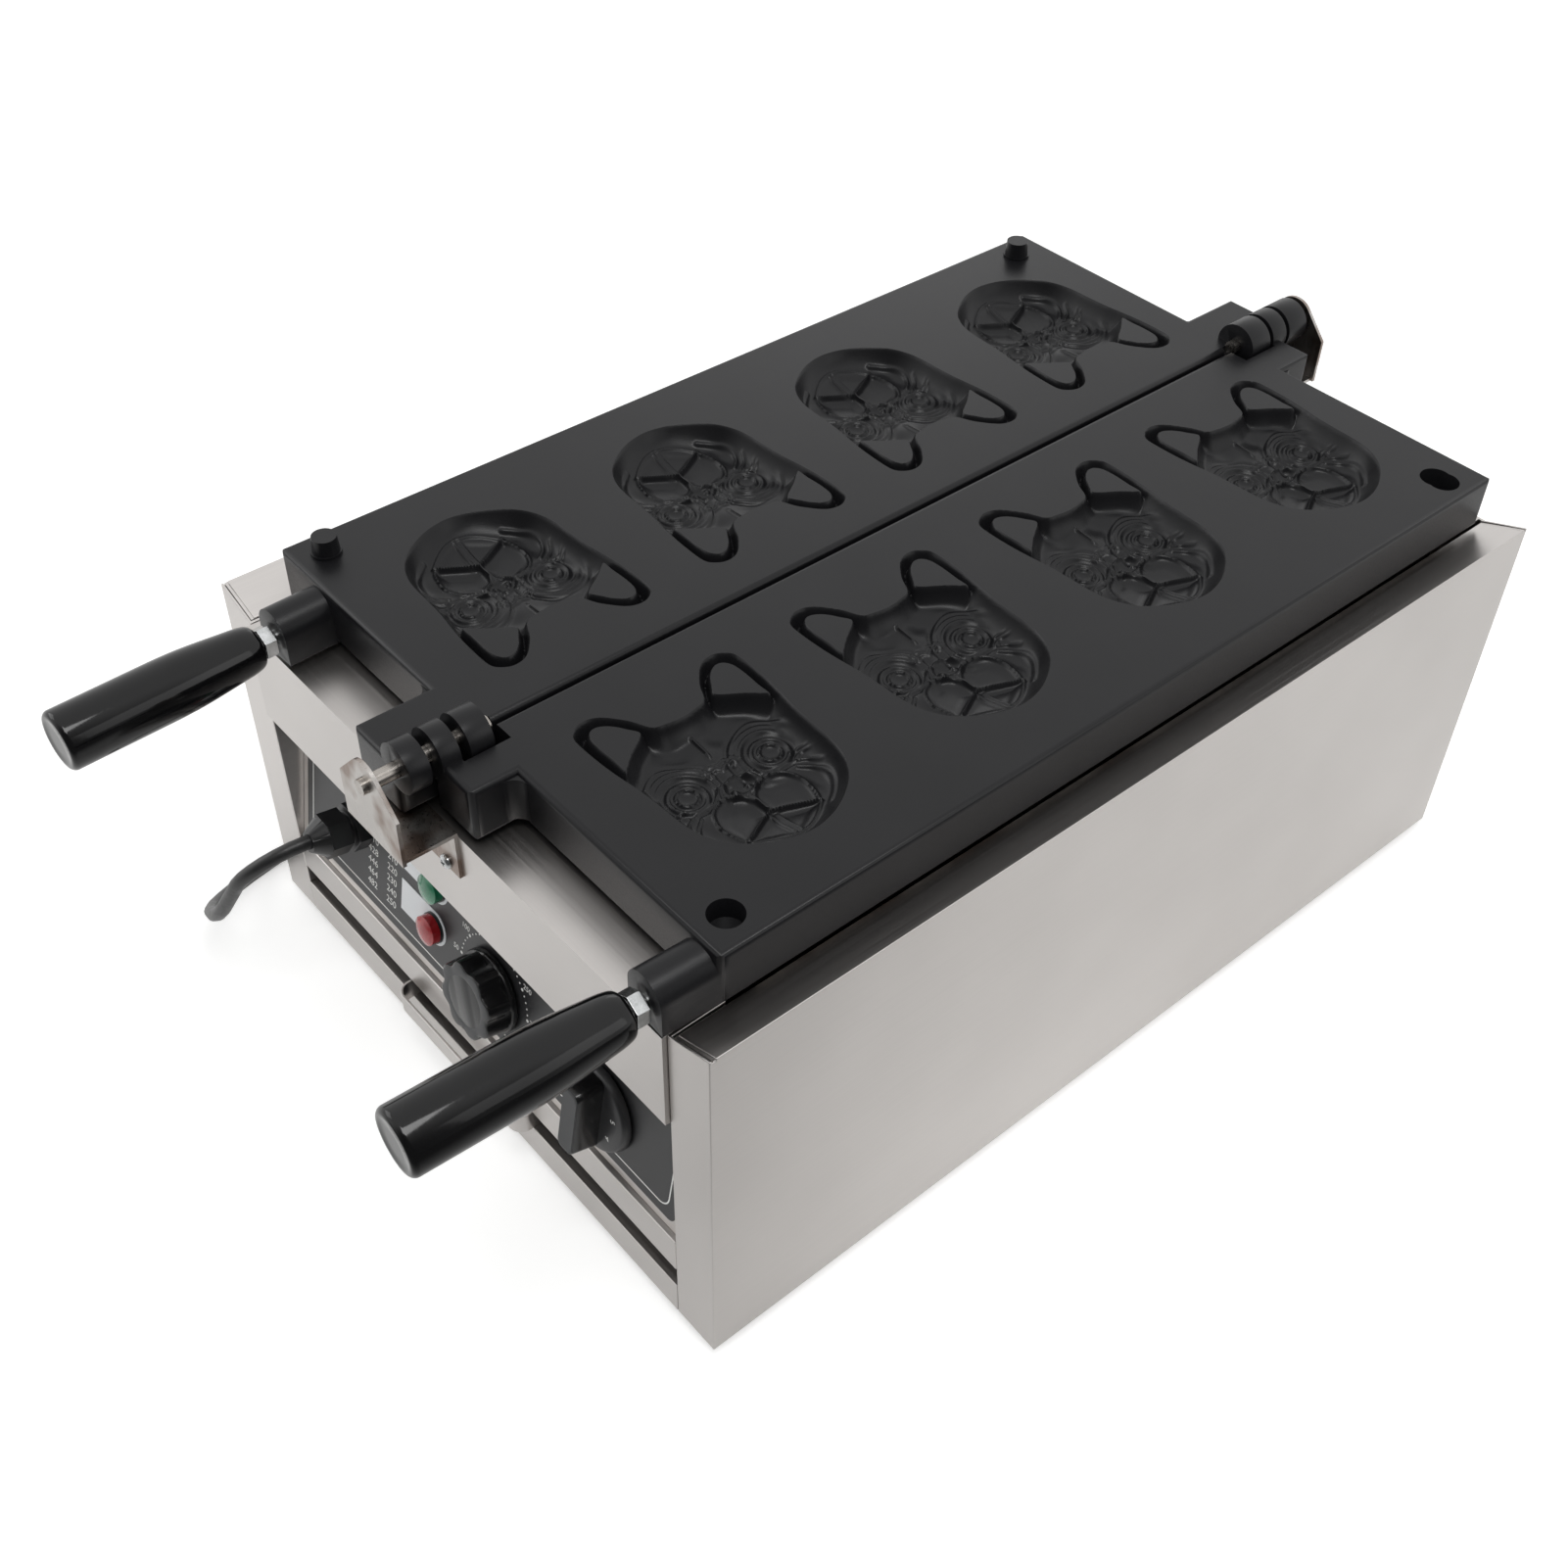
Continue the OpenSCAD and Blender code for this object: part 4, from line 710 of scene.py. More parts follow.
@dataclass
class BulldogMould:
    """Cutter for one cavity, the negative of a bulldog's face. Sizes in mm.

    s runs from the ear tips to the chin and t across the face. Shares are of the length and of
    half the width. Heights are positive where the mould is deeper, and negative at its creases.
    A rise is an amount, the place where it starts and the length that it takes, and a swell an
    amount and that length. A crease is a height, a width and the points that it follows.
    """

    length: float = 118.5
    width: float = 95.5
    depth: float = 12.0
    wall: float = 9.2
    wall_rise: tuple[float, float, float] = (3.0, 24.0, 20.0)
    ear_wall: float = 0.75
    ear_rise: tuple[float, float, float] = (2.2, 30.0, 26.0)
    chin_rise: tuple[float, float, float] = (3.0, 95.0, 17.0)
    dome: Mound = Mound(2.2, (80.0, 0.0), (17.0, 19.0))
    lip: float = 0.6
    ear_inset: float = 1.7
    calm: tuple[float, float] = (3.0, 4.5)
    cell: float = 0.62
    margin: float = 3.0
    head_shares: Outline = field(
        default_factory=lambda: [
            (0.220, 0), (0.210, 0.188), (0.192, 0.318), (0.122, 0.408), (0.084, 0.471),
            (0.030, 0.586), (0.004, 0.691), (0, 0.817), (0.021, 0.921), (0.055, 0.985), (0.12, 1),
            (0.241, 0.991), (0.350, 0.963), (0.451, 0.928), (0.56, 0.910), (0.665, 0.898),
            (0.745, 0.865), (0.815, 0.795), (0.880, 0.675), (0.940, 0.475), (0.982, 0.255), (1, 0),
        ]
    )
    ear_shares: Outline = field(
        default_factory=lambda: [
            (0.198, 0.42), (0.13, 0.49), (0.075, 0.59), (0.045, 0.71), (0.05, 0.82), (0.09, 0.895),
            (0.16, 0.915), (0.25, 0.905), (0.335, 0.885), (0.27, 0.66),
        ]
    )
    pad: Outline = field(
        default_factory=lambda: [
            (88.4, 0.6), (80.0, 0.5), (74.5, 2.6), (70.8, 8.5), (70.6, 15.5), (74.5, 21.3),
            (82.0, 24.2), (90.5, 23.6), (97.6, 20.3), (94.3, 12.0), (91.0, 6.0),
        ]
    )
    chin: Outline = field(default_factory=lambda: [(88.7, 0), (98.8, 21), (110.6, 0)])
    pad_swell: tuple[float, float] = (2.3, 7.0)
    pad_edge: tuple[float, float] = (-1.3, 0.8)
    chin_swell: tuple[float, float] = (1.2, 4.0)
    eye: tuple[float, float] = (60.0, 24.0)
    eye_ball: tuple[float, float] = (1.3, 5.0)
    eye_rings: Rings = ((-1.3, 5.4, 0.6), (0.6, 7.1, 0.9), (-1.0, 9.0, 0.9), (1.0, 11.4, 1.2))
    eye_folds: Rings = ((-1.2, 14.2, 0.9), (-0.9, 17.2, 0.8), (1.0, 20.2, 1.5))
    nose: float = 67.3
    nose_reach: tuple[float, float] = (5.0, 8.0)
    nose_height: float = 2.2
    nose_edge: Rings = ((-1.3, 1.16, 0.13),)
    bridge: tuple[float, float] = (57.0, 4.0)
    bridge_folds: Rings = ((-1.1, 4.0, 0.8), (-0.7, 6.6, 0.8))
    mounds: tuple[Mound, ...] = (
        Mound(-2.4, (68.6, 3.7), (1.5, 1.5)),  # nostril
        Mound(2.4, (36.5, 12.0), (7.5, 8.5)),  # brow
        Mound(1.4, (84.5, 29.0), (8.0, 4.5)),  # cheek
    )
    ridges: tuple[Ridge, ...] = (
        Ridge(-1.5, 0.0, 0.8, (73.0, 2.0), (89.5, 2.0)),  # between the muzzle pads
        Ridge(-1.1, 1.5, 0.6, (90.0, 2.0), (111.0, 2.0)),  # down the chin
        Ridge(-2.0, 0.0, 0.8, (30.0, 3.0), (49.0, 6.0)),  # up the forehead
    )
    creases: tuple[tuple[float, float, Outline], ...] = (
        (-1.5, 0.85, [(88.7, 0), (93.3, 10.5), (98.8, 21.0)]),
        (-1.3, 0.7, [(110.6, 0), (109.0, 7), (105.0, 14.0), (99.0, 21.0)]),
        (
            -1.6, 0.9,
            [(74.5, 27.5), (79.5, 33.0), (86.0, 35.5), (92.5, 34.0), (98.5, 29.0), (103.0, 23.5)],
        ),
        (
            -1.6, 0.65,
            [(63.5, 9.0), (68.2, 14.5), (70.6, 21.5), (71.2, 28.5), (74.5, 34.5), (80.5, 38.0)],
        ),
        (-1.2, 0.6, [(66.8, 30.5), (66.0, 34.5), (68.5, 38.5)]),
        (-1.2, 0.6, [(69.6, 31.5), (69.0, 35.5), (71.5, 39.0)]),
        (
            -1.3, 1.0,
            [(56.0, 5.5), (48.5, 9.0), (41.5, 17.5), (40.0, 28.0), (46.0, 37.5), (57.0, 41.5)],
        ),
    )

    def eye_form(self, s: np.ndarray, t: np.ndarray) -> np.ndarray:
        """Gives the eye: its ball, its lids' rings and the folds on the inner side.

        Args:
            s: Places along the face.
            t: Places across it, positive.

        Returns:
            The height at each place.
        """
        r = np.hypot(s - self.eye[0], t - self.eye[1])
        inner = ease(0.5 + 0.6 * (self.eye[0] - s + self.eye[1] - t) / np.maximum(r, 1.0))
        height, radius = self.eye_ball
        ball = height * np.clip(1 - (r / radius) ** 2, 0, 1)
        return ball + waves(r, self.eye_rings) + inner * waves(r, self.eye_folds)

    def nose_form(self, s: np.ndarray, t: np.ndarray) -> np.ndarray:
        """Gives the nose and the folds over it.

        Args:
            s: Places along the face.
            t: Places across it, positive.

        Returns:
            The height at each place.
        """
        e = np.hypot((s - self.nose) / self.nose_reach[0], t / self.nose_reach[1])
        ball = self.nose_height * np.clip(1 - e**2, 0, 1) + waves(e, self.nose_edge)
        r = np.hypot(s - self.bridge[0], t - self.bridge[1])
        return ball + ease((self.bridge[0] + 0.5 - s) / 2) * waves(r, self.bridge_folds)

    def muzzle_form(self, spots: np.ndarray) -> np.ndarray:
        """Gives the muzzle pad with the ridge round it, and the chin.

        Args:
            spots: Places along and across the face, one row each.

        Returns:
            The height at each place.
        """
        d = distance(spots, curve_through(self.pad), closed=True)
        chin = distance(spots, np.array(self.chin, float), closed=True)
        height, run = self.pad_swell
        pad = height * (1 - (1 - np.clip(d / run, 0, 1)) ** 2)
        pad += self.pad_edge[0] * bump_of(d, self.pad_edge[1])
        return pad + self.chin_swell[0] * ease(chin / self.chin_swell[1])

    def features(self, s: np.ndarray, t: np.ndarray) -> np.ndarray:
        """Gives the face's small forms.

        Args:
            s: Places along the face.
            t: Places across it, positive.

        Returns:
            The height at each place.
        """
        spots = np.stack([s, t], 1)
        total = self.eye_form(s, t) + self.nose_form(s, t) + self.muzzle_form(spots)
        for part in self.ridges + self.mounds:
            total += part.form(s, t)
        for height, width, line in self.creases:
            along = curve_through(line, closed=False)
            total += height * bump_of(distance(spots, along), width)
        return total

    def depth_at(self, s: np.ndarray, t: np.ndarray) -> np.ndarray:
        """Gives how far the cutter reaches below the plate's face, negative above it.

        Args:
            s: Places along the face.
            t: Places across it.

        Returns:
            The depth at each place.
        """
        half = self.width / 2
        side = [(a * self.length, b * half) for a, b in self.head_shares]
        whole = side + [(a, -b) for a, b in side[-2:0:-1]]
        across = np.abs(t)
        d_head = distance(np.stack([s, t], 1), curve_through(whole), closed=True)
        ear = curve_through([(a * self.length, b * half) for a, b in self.ear_shares])
        d_ear = self.ear_inset - distance(np.stack([s, across], 1), ear, closed=True)
        wall, ears, chin = (
            (rise, ease((s - start) / run))
            for rise, start, run in (self.wall_rise, self.ear_rise, self.chin_rise)
        )
        floor = self.depth - ears[0] * (1 - ears[1]) - chin[0] * chin[1]
        floor = floor + self.dome.form(s, across)

        def slope(d: np.ndarray, run: np.ndarray) -> np.ndarray:
            """Gives the wall's depth from the distance inside the outline and the wall's run."""
            down = 1 - (1 - np.clip((d - self.lip) / run, 0, 1)) ** 2
            return np.where(d < self.lip, d, self.lip + (floor - self.lip) * down)

        run = self.wall - wall[0] * (1 - wall[1])
        shape = np.minimum(slope(d_head, run), slope(d_ear, run * self.ear_wall))
        calm = ease((np.minimum(d_head, d_ear) - self.calm[0]) / self.calm[1])
        return np.maximum(shape + calm * self.features(s, across), -self.margin)

    def cutter(self, face_z: float) -> bpy.types.Mesh:
        """Makes the closed cutter, with its ear tips at x = 0 and its middle at y = 0.

        Args:
            face_z: Height of the plate's face in metres.

        Returns:
            The mesh.
        """
        rows = int((self.length + 2 * self.margin) / self.cell) + 1
        columns = int((self.width + 2 * self.margin) / self.cell) + 1
        s = np.linspace(-self.margin, self.length + self.margin, rows)
        t = np.linspace(-self.width / 2 - self.margin, self.width / 2 + self.margin, columns)
        grid_s, grid_t = (a.ravel() for a in np.meshgrid(s, t, indexing="ij"))
        low = self.depth_at(grid_s, grid_t)
        spots = np.stack([grid_s * MM, grid_t * MM, face_z - low * MM], 1)
        index = np.arange(rows * columns).reshape(rows, columns)
        corners = [index[:-1, :-1], index[:-1, 1:], index[1:, 1:], index[1:, :-1]]
        quads = np.stack(corners, -1).reshape(-1, 4)
        rim = np.concatenate([index[0, :-1], index[:-1, -1], index[-1, :0:-1], index[:0:-1, 0]])
        top = len(spots) + np.arange(len(rim))
        lid = spots[rim].copy()
        lid[:, 2] = face_z + 2 * self.margin * MM
        follow = np.roll(np.arange(len(rim)), -1)
        walls = [(int(rim[i]), int(rim[j]), int(top[j]), int(top[i])) for i, j in enumerate(follow)]
        mesh = bpy.data.meshes.new("bulldog_cutter")
        cap = tuple(int(i) for i in top)
        mesh.from_pydata(np.vstack([spots, lid]).tolist(), [], quads.tolist() + walls + [cap])
        shape = bmesh.new()
        shape.from_mesh(mesh)
        bmesh.ops.recalc_face_normals(shape, faces=shape.faces)
        shape.to_mesh(mesh)
        shape.free()
        return mesh


@dataclass
class Repeat:
    """A Geometry Nodes tree that repeats a mesh on points, with its named inputs."""

    name: str
    kinds: dict[str, str]
    tree: bpy.types.NodeTree = field(init=False)
    given: bpy.types.NodeOutputs = field(init=False)

    def __post_init__(self) -> None:
        """Makes the tree with its inputs."""
        self.tree = bpy.data.node_groups.new(self.name, "GeometryNodeTree")
        face = self.tree.interface
        face.new_socket("Geometry", in_out="INPUT", socket_type="NodeSocketGeometry")
        for name, kind in self.kinds.items():
            face.new_socket(name, in_out="INPUT", socket_type="NodeSocket" + kind)
        face.new_socket("Geometry", in_out="OUTPUT", socket_type="NodeSocketGeometry")
        self.given = add(self.tree, "NodeGroupInput").outputs

    def fit(
        self,
        source: bpy.types.Object,
        points: bpy.types.NodeSocket,
        turn: bpy.types.NodeSocket,
        finish: Finish,
        values: dict[str, object],
    ) -> None:
        """Ends the tree and gives it to an object, which it repeats on points.

        Args:
            source: The object that gets the modifier.
            points: The points that carry a copy each.
            turn: The copies' turn.
            finish: The copies' surface.
            values: A value for each named input.
        """
        copies = add(
            self.tree, "GeometryNodeInstanceOnPoints",
            {"Points": points, "Instance": self.given["Geometry"], "Rotation": turn},
        )
        real = add(self.tree, "GeometryNodeRealizeInstances", {0: copies.outputs[0]})
        painted = add(
            self.tree, "GeometryNodeSetMaterial",
            {"Geometry": real.outputs[0], "Material": finish.material()},
        )
        add(self.tree, "NodeGroupOutput", {0: painted.outputs[0]})
        modifier = source.modifiers.new(self.name, "NODES")
        modifier.node_group = self.tree
        for item in self.tree.interface.items_tree:
            if item.name in values and item.in_out == "INPUT":
                modifier[item.identifier] = values[item.name]


def repeated_row(
    source: bpy.types.Object, count: int, first: Point, step: Point, turn: float, finish: Finish
) -> None:
    """Repeats an object's mesh in a row with Geometry Nodes.

    Args:
        source: The object that gets the modifier.
        count: Number of copies.
        first: Place of the first copy.
        step: Step from copy to copy.
        turn: Turn of each copy about Z, in radians.
        finish: The copies' surface.
    """
    row = Repeat("row", {"Count": "Int", "First": "Vector", "Step": "Vector", "Turn": "Vector"})
    line = add(
        row.tree, "GeometryNodeMeshLine",
        {
            "Count": row.given["Count"],
            "Start Location": row.given["First"],
            "Offset": row.given["Step"],
        },
    )
    values = {"Count": count, "First": first, "Step": step, "Turn": (0.0, 0.0, turn)}
    row.fit(source, line.outputs[0], row.given["Turn"], finish, values)


@dataclass
class CookingPlate:
    """One cast plate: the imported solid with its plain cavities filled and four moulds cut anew."""

    node: str
    body: Body
    side: int
    first_y: float = -146.66
    pitch: float = 129.0
    inset: float = 26.5
    count: int = 4
    filler_x: tuple[float, float] = (24.0, 147.0)
    filler_y: tuple[float, float] = (-198.0, 291.0)
    filler_depth: float = 17.0
    face_band: tuple[float, float] = (30.0, 140.0)
    level: float = 0.001
    edge: float = 1.5

    def filler(self, face_z: float) -> bpy.types.Object:
        """Makes the block that fills the plain cavities, level with the face.

        Args:
            face_z: Height of the plate's face in metres.

        Returns:
            The block's working object.
        """
        x0, x1 = sorted(self.side * x * MM for x in self.filler_x)
        y0, y1 = (y * MM for y in self.filler_y)
        shape = bmesh.new()
        bmesh.ops.create_cube(shape, size=1.0)
        for corner in shape.verts:
            corner.co = (
                x1 if corner.co.x > 0 else x0,
                y1 if corner.co.y > 0 else y0,
                face_z if corner.co.z > 0 else face_z - self.filler_depth * MM,
            )
        mesh = bpy.data.meshes.new("filler")
        shape.to_mesh(mesh)
        shape.free()
        return loose_object("filler", mesh)

    def cutters(self, mould: BulldogMould, face_z: float) -> bpy.types.Object:
        """Sets the moulds' cutters in a row along the plate.

        Args:
            mould: The mould.
            face_z: Height of the plate's face in metres.

        Returns:
            The cutters' working object.
        """
        row = loose_object("cutters", mould.cutter(face_z))
        first = (self.side * self.inset * MM, self.first_y * MM, 0.0)
        turn = 0.0 if self.side > 0 else math.pi
        repeated_row(row, self.count, first, (0.0, self.pitch * MM, 0.0), turn, COATED_CASTING)
        return loose_object("cutters", baked(row))

    def build(self, mould: BulldogMould) -> None:
        """Fills the plain cavities, eases the edges, cuts the moulds and places the plate.

        Args:
            mould: The mould.
        """
        base = merged_copy(self.node, flat=True)
        base.materials.clear()
        near, far = (x * MM for x in self.face_band)
        face_z = max(v.co.z for v in base.vertices if near < abs(v.co.x) < far)
        filler = self.filler(face_z)
        cutters = self.cutters(mould, face_z)
        work = loose_object(self.node + "_work", base)
        combine(work, "fill", filler, "UNION")
        bevel(work, self.edge, SHARP_TURN)
        combine(work, "mould", cutters, "DIFFERENCE")
        mesh = baked(work)
        for helper in (filler, cutters):
            bpy.data.objects.remove(helper)
        mesh.materials.clear()
        mesh.polygons.foreach_set("material_index", [0] * len(mesh.polygons))
        place(
            self.crisp(smooth(mesh), face_z), self.node + "_casting", COATED_CASTING,
            self.body, (self.node,),
        )

    def crisp(self, mesh: bpy.types.Mesh, face_z: float) -> bpy.types.Mesh:
        """Marks every edge of the machined face as sharp, so that its shading stays plain.

        Args:
            mesh: The plate's mesh.
            face_z: Height of the plate's face in metres.

        Returns:
            The same mesh.
        """
        shape = bmesh.new()
        shape.from_mesh(mesh)
        near = self.level * MM
        for edge in shape.edges:
            level = [all(abs(v.co.z - face_z) < near for v in f.verts) for f in edge.link_faces]
            if any(level) and not all(level):
                edge.smooth = False
        shape.to_mesh(mesh)
        shape.free()
        return mesh


# Panel print and controls


@dataclass(frozen=True)
class PanelPlane:
    """The leaning control panel's outer face. Sizes in mm, in the row frame."""

    lean: float = 10.0
    foot_z: float = 67.0
    control_rise: float = 33.0
    control_y: float = -241.442
    thermostat_x: float = 15.5
    timer_x: float = 107.0

    def at(self, x: float, rise: float) -> Matrix:
        """Gives the frame at a spot of the panel: X across, Y up the slope, Z outwards.

        Args:
            x: Place across.
            rise: Height over the panel's foot.

        Returns:
            The frame, in metres.
        """
        a = math.radians(self.lean)
        y = self.control_y + (rise - self.control_rise) * math.tan(a)
        spot = Vector((x, y, self.foot_z + rise))
        normal = Vector((0, -math.cos(a), math.sin(a)))
        turn = Matrix(((1, 0, 0), (0, math.sin(a), math.cos(a)), normal)).transposed().to_4x4()
        return Matrix.Translation(spot * MM) @ turn


PANEL = PanelPlane()


def text_mesh(words: str, size: float, frame_at: Matrix) -> bpy.types.Mesh:
    """Makes plain figures as a thin closed mesh.

    Args:
        words: The figures.
        size: Their height in mm.
        frame_at: The frame that they lie in, in metres.

    Returns:
        The mesh, in the row frame.
    """
    font = bpy.data.curves.new("figures", "FONT")
    font.body = words
    font.size = size * MM
    font.align_x = "CENTER"
    font.align_y = "CENTER"
    font.extrude = INK * MM
    font.resolution_u = 4
    mesh = baked(loose_object("figures", font))
    mesh.transform(frame_at)
    return mesh


def joined(name: str, meshes: list[bpy.types.Mesh]) -> bpy.types.Mesh:
    """Joins meshes to one and merges their doubles.

    Args:
        name: The new mesh's name.
        meshes: The meshes, which are removed.

    Returns:
        The new mesh.
    """
    shape = bmesh.new()
    for mesh in meshes:
        shape.from_mesh(mesh)
        bpy.data.meshes.remove(mesh)
    bmesh.ops.remove_doubles(shape, verts=shape.verts, dist=WELD_MARKS * MM)
    bmesh.ops.recalc_face_normals(shape, faces=shape.faces)
    made = bpy.data.meshes.new(name)
    shape.to_mesh(made)
    shape.free()
    made.materials.clear()
    return made


def slab(
    outline: np.ndarray, low: float, high: float, frame_at: Matrix, hole: np.ndarray | None = None
) -> bpy.types.Mesh:
    """Makes a flat slab from an outline, or a band round a hole of as many points.

    Args:
        outline: The outline in mm, counter-clockwise.
        low: Height of its underside in mm.
        high: Height of its top in mm.
        frame_at: The frame that it lies in, in metres.
        hole: The inner outline of a band.

    Returns:
        The mesh, in the row frame.
    """
    n = len(outline)
    rings = [outline] if hole is None else [outline, hole]
    verts = [(x * MM, y * MM, z * MM) for z in (low, high) for ring in rings for x, y in ring]
    faces: list[tuple[int, ...]] = []
    if hole is None:
        faces += [tuple(range(n - 1, -1, -1)), tuple(range(n, 2 * n))]
        faces += [(i, (i + 1) % n, n + (i + 1) % n, n + i) for i in range(n)]
    else:
        for i in range(n):
            j = (i + 1) % n
            faces += [(2 * n + i, 2 * n + j, 3 * n + j, 3 * n + i), (j, i, n + i, n + j)]
            faces += [(i, j, 2 * n + j, 2 * n + i), (n + j, n + i, 3 * n + i, 3 * n + j)]
    mesh = bpy.data.meshes.new("slab")
    mesh.from_pydata(verts, [], faces)
    mesh.transform(frame_at)
    return mesh


def ring_of(
    radius: float, sides: int, lobes: int = 0, bite: float = 0.0, sharp: float = 1.0
) -> np.ndarray:
    """Gives a circle, or one with finger hollows, counter-clockwise.

    Args:
        radius: Its radius in mm.
        sides: Number of points.
        lobes: Number of hollows.
        bite: Depth of a hollow in mm.
        sharp: How narrow the lobes between the hollows are.

    Returns:
        The points, one row each.
    """
    a = np.linspace(0, math.tau, sides, endpoint=False)
    wave = (0.5 + 0.5 * np.cos(lobes * a)) ** sharp if lobes else 0.0
    r = radius - bite * wave
    return np.stack([r * np.cos(a), r * np.sin(a)], 1)


def lofted(rings: list[tuple[np.ndarray, float]], frame_at: Matrix, name: str) -> bpy.types.Mesh:
    """Joins outlines of as many points, one over the other, to a closed shape.

    Args:
        rings: Each outline in mm with its height in mm, from the bottom up.
        frame_at: The frame that it stands in, in metres.
        name: The mesh's name.

    Returns:
        The mesh, in the row frame.
    """
    n = len(rings[0][0])
    verts = [(x * MM, y * MM, z * MM) for ring, z in rings for x, y in ring]
    faces: list[tuple[int, ...]] = [tuple(range(n - 1, -1, -1))]
    for low in range(0, (len(rings) - 1) * n, n):
        high = low + n
        faces += [(low + i, low + (i + 1) % n, high + (i + 1) % n, high + i) for i in range(n)]
    last = (len(rings) - 1) * n
    faces.append(tuple(range(last, last + n)))
    mesh = bpy.data.meshes.new(name)
    mesh.from_pydata(verts, [], faces)
    mesh.transform(frame_at)
    return mesh


def outline_of(
    half_x: float, low: float, high: float, radius: float, corner: int = 8
) -> np.ndarray:
    """Gives a rectangle with round corners, counter-clockwise, in mm.

    Args:
        half_x: Half of its width.
        low: Its lower edge.
        high: Its upper edge.
        radius: The corners' radius.
        corner: Steps in a corner.

    Returns:
        The points, one row each.
    """
    right, top, foot = half_x - radius, high - radius, low + radius
    centres = [(right, top), (-right, top), (-right, foot), (right, foot)]
    found = []
    for i, (x, y) in enumerate(centres):
        for k in range(corner + 1):
            a = math.pi / 2 * (i + k / corner)
            found.append((x + radius * math.cos(a), y + radius * math.sin(a)))
    return np.array(found)


def repeated_ring(
    source: bpy.types.Object, count: int, radius: float, start: float, sweep: float, finish: Finish
) -> None:
    """Repeats an object's mesh round the Z axis with Geometry Nodes, turned with the ring.

    Args:
        source: The object that gets the modifier.
        count: Number of copies.
        radius: The ring's radius in metres.
        start: Angle of the first copy, in radians.
        sweep: Angle from the first copy to the last, in radians.
        finish: The copies' surface.
    """
    kinds = {"Count": "Int", "Radius": "Float", "Start": "Float", "Sweep": "Float"}
    ring = Repeat("ring", kinds)
    tree, given = ring.tree, ring.given
    points = add(
        tree, "GeometryNodeMeshLine", {"Count": given["Count"], "Offset": (0.0, 0.0, 0.0)}
    )
    step = maths(tree, "DIVIDE", given["Sweep"], maths(tree, "SUBTRACT", given["Count"], 1.0))
    index = add(tree, "GeometryNodeInputIndex").outputs[0]
    angle = maths(tree, "MULTIPLY_ADD", index, step, given["Start"])
    spin = add(tree, "ShaderNodeCombineXYZ", {"Z": angle})
    arm = add(tree, "ShaderNodeCombineXYZ", {"X": given["Radius"]})
    swung = add(
        tree, "ShaderNodeVectorRotate", {"Vector": arm.outputs[0], "Angle": angle},
        rotation_type="Z_AXIS",
    )
    spread = add(
        tree, "GeometryNodeSetPosition",
        {"Geometry": points.outputs[0], "Position": swung.outputs[0]},
    )
    values = {"Count": count, "Radius": radius, "Start": start, "Sweep": sweep}
    ring.fit(source, spread.outputs[0], spin.outputs[0], finish, values)


def ring_of_marks(
    mark: bpy.types.Mesh, count: int, radius: float, start: float, sweep: float, frame_at: Matrix
) -> bpy.types.Mesh:
    """Sets flat marks round a middle, and puts them on a plane.

    Args:
        mark: One mark, in metres, pointing along X.
        count: Number of marks.
        radius: The ring's radius in mm.
        start: Angle of the first one in degrees.
        sweep: Angle from the first to the last in degrees.
        frame_at: The plane's frame, in metres.

    Returns:
        The mesh, in the row frame.
    """
    row = loose_object("marks", mark)
    repeated_ring(row, count, radius * MM, math.radians(start), math.radians(sweep), WHITE_INK)
    mesh = baked(row)
    mesh.transform(frame_at)
    return mesh


@dataclass
class PanelPrint:
    """White print on the panel's grey film: frame line, columns of figures, thermostat's scale.

    Sizes in mm on the panel: x across and rise up the slope from the rail.
    """

    line_half: float = 161.5
    line_rise: tuple[float, float] = (10.9, 98.5)
    line_radius: float = 7.0
    line_width: float = 0.8
    columns: tuple[tuple[float, int, int], ...] = ((-98.5, 374, 18), (-80.0, 190, 10))
    column_rise: float = 18.9
    column_pitch: float = 7.4
    rows: int = 7
    figure: float = 6.4
    minor_dot: tuple[float, int, float] = (0.55, 12, 0.03)
    major_dot: tuple[float, int, float] = (0.95, 16, INK)
    dot_radius: float = 29.2
    dot_pitch: float = 6.9
    first_dot: float = 211.0
    majors: int = 8
    minors: int = 5
    number_radius: float = 34.2
    number_size: float = 4.6
    number_step: int = 50

    def build(self) -> None:
        """Makes the print and places it."""
        up = 1 / math.cos(math.radians(PANEL.lean))
        low, high = self.line_rise
        flat = PANEL.at(0, 0)
        outer = outline_of(self.line_half, low * up, high * up, self.line_radius)
        w = self.line_width
        inner = outline_of(self.line_half - w, low * up + w, high * up - w, self.line_radius - w)
        parts = [slab(outer, -INK, INK, flat, inner)]
        for x, first, step in self.columns:
            for row in range(self.rows):
                rise = self.column_rise + self.column_pitch * (self.rows - 1 - row)
                parts.append(text_mesh(str(first + step * row), self.figure, PANEL.at(x, rise)))
        around = PANEL.at(PANEL.thermostat_x, PANEL.control_rise)
        count = (self.majors - 1) * self.minors + 1
        sweep = -self.dot_pitch * (count - 1)
        for dots, (radius, sides, ink) in ((count, self.minor_dot), (self.majors, self.major_dot)):
            mark = slab(ring_of(radius, sides), -ink, ink, Matrix())
            parts.append(
                ring_of_marks(mark, dots, self.dot_radius, self.first_dot, sweep, around)
            )
        for k in range(self.majors):
            a = math.radians(self.first_dot - self.dot_pitch * self.minors * k)
            arm = Vector((math.cos(a), math.sin(a), 0)) * self.number_radius * MM
            figures = str(self.number_step * k)
            parts.append(text_mesh(figures, self.number_size, around @ Matrix.Translation(arm)))
        place(joined("panel_print", parts), "panel_print", WHITE_INK, Body.BASE)


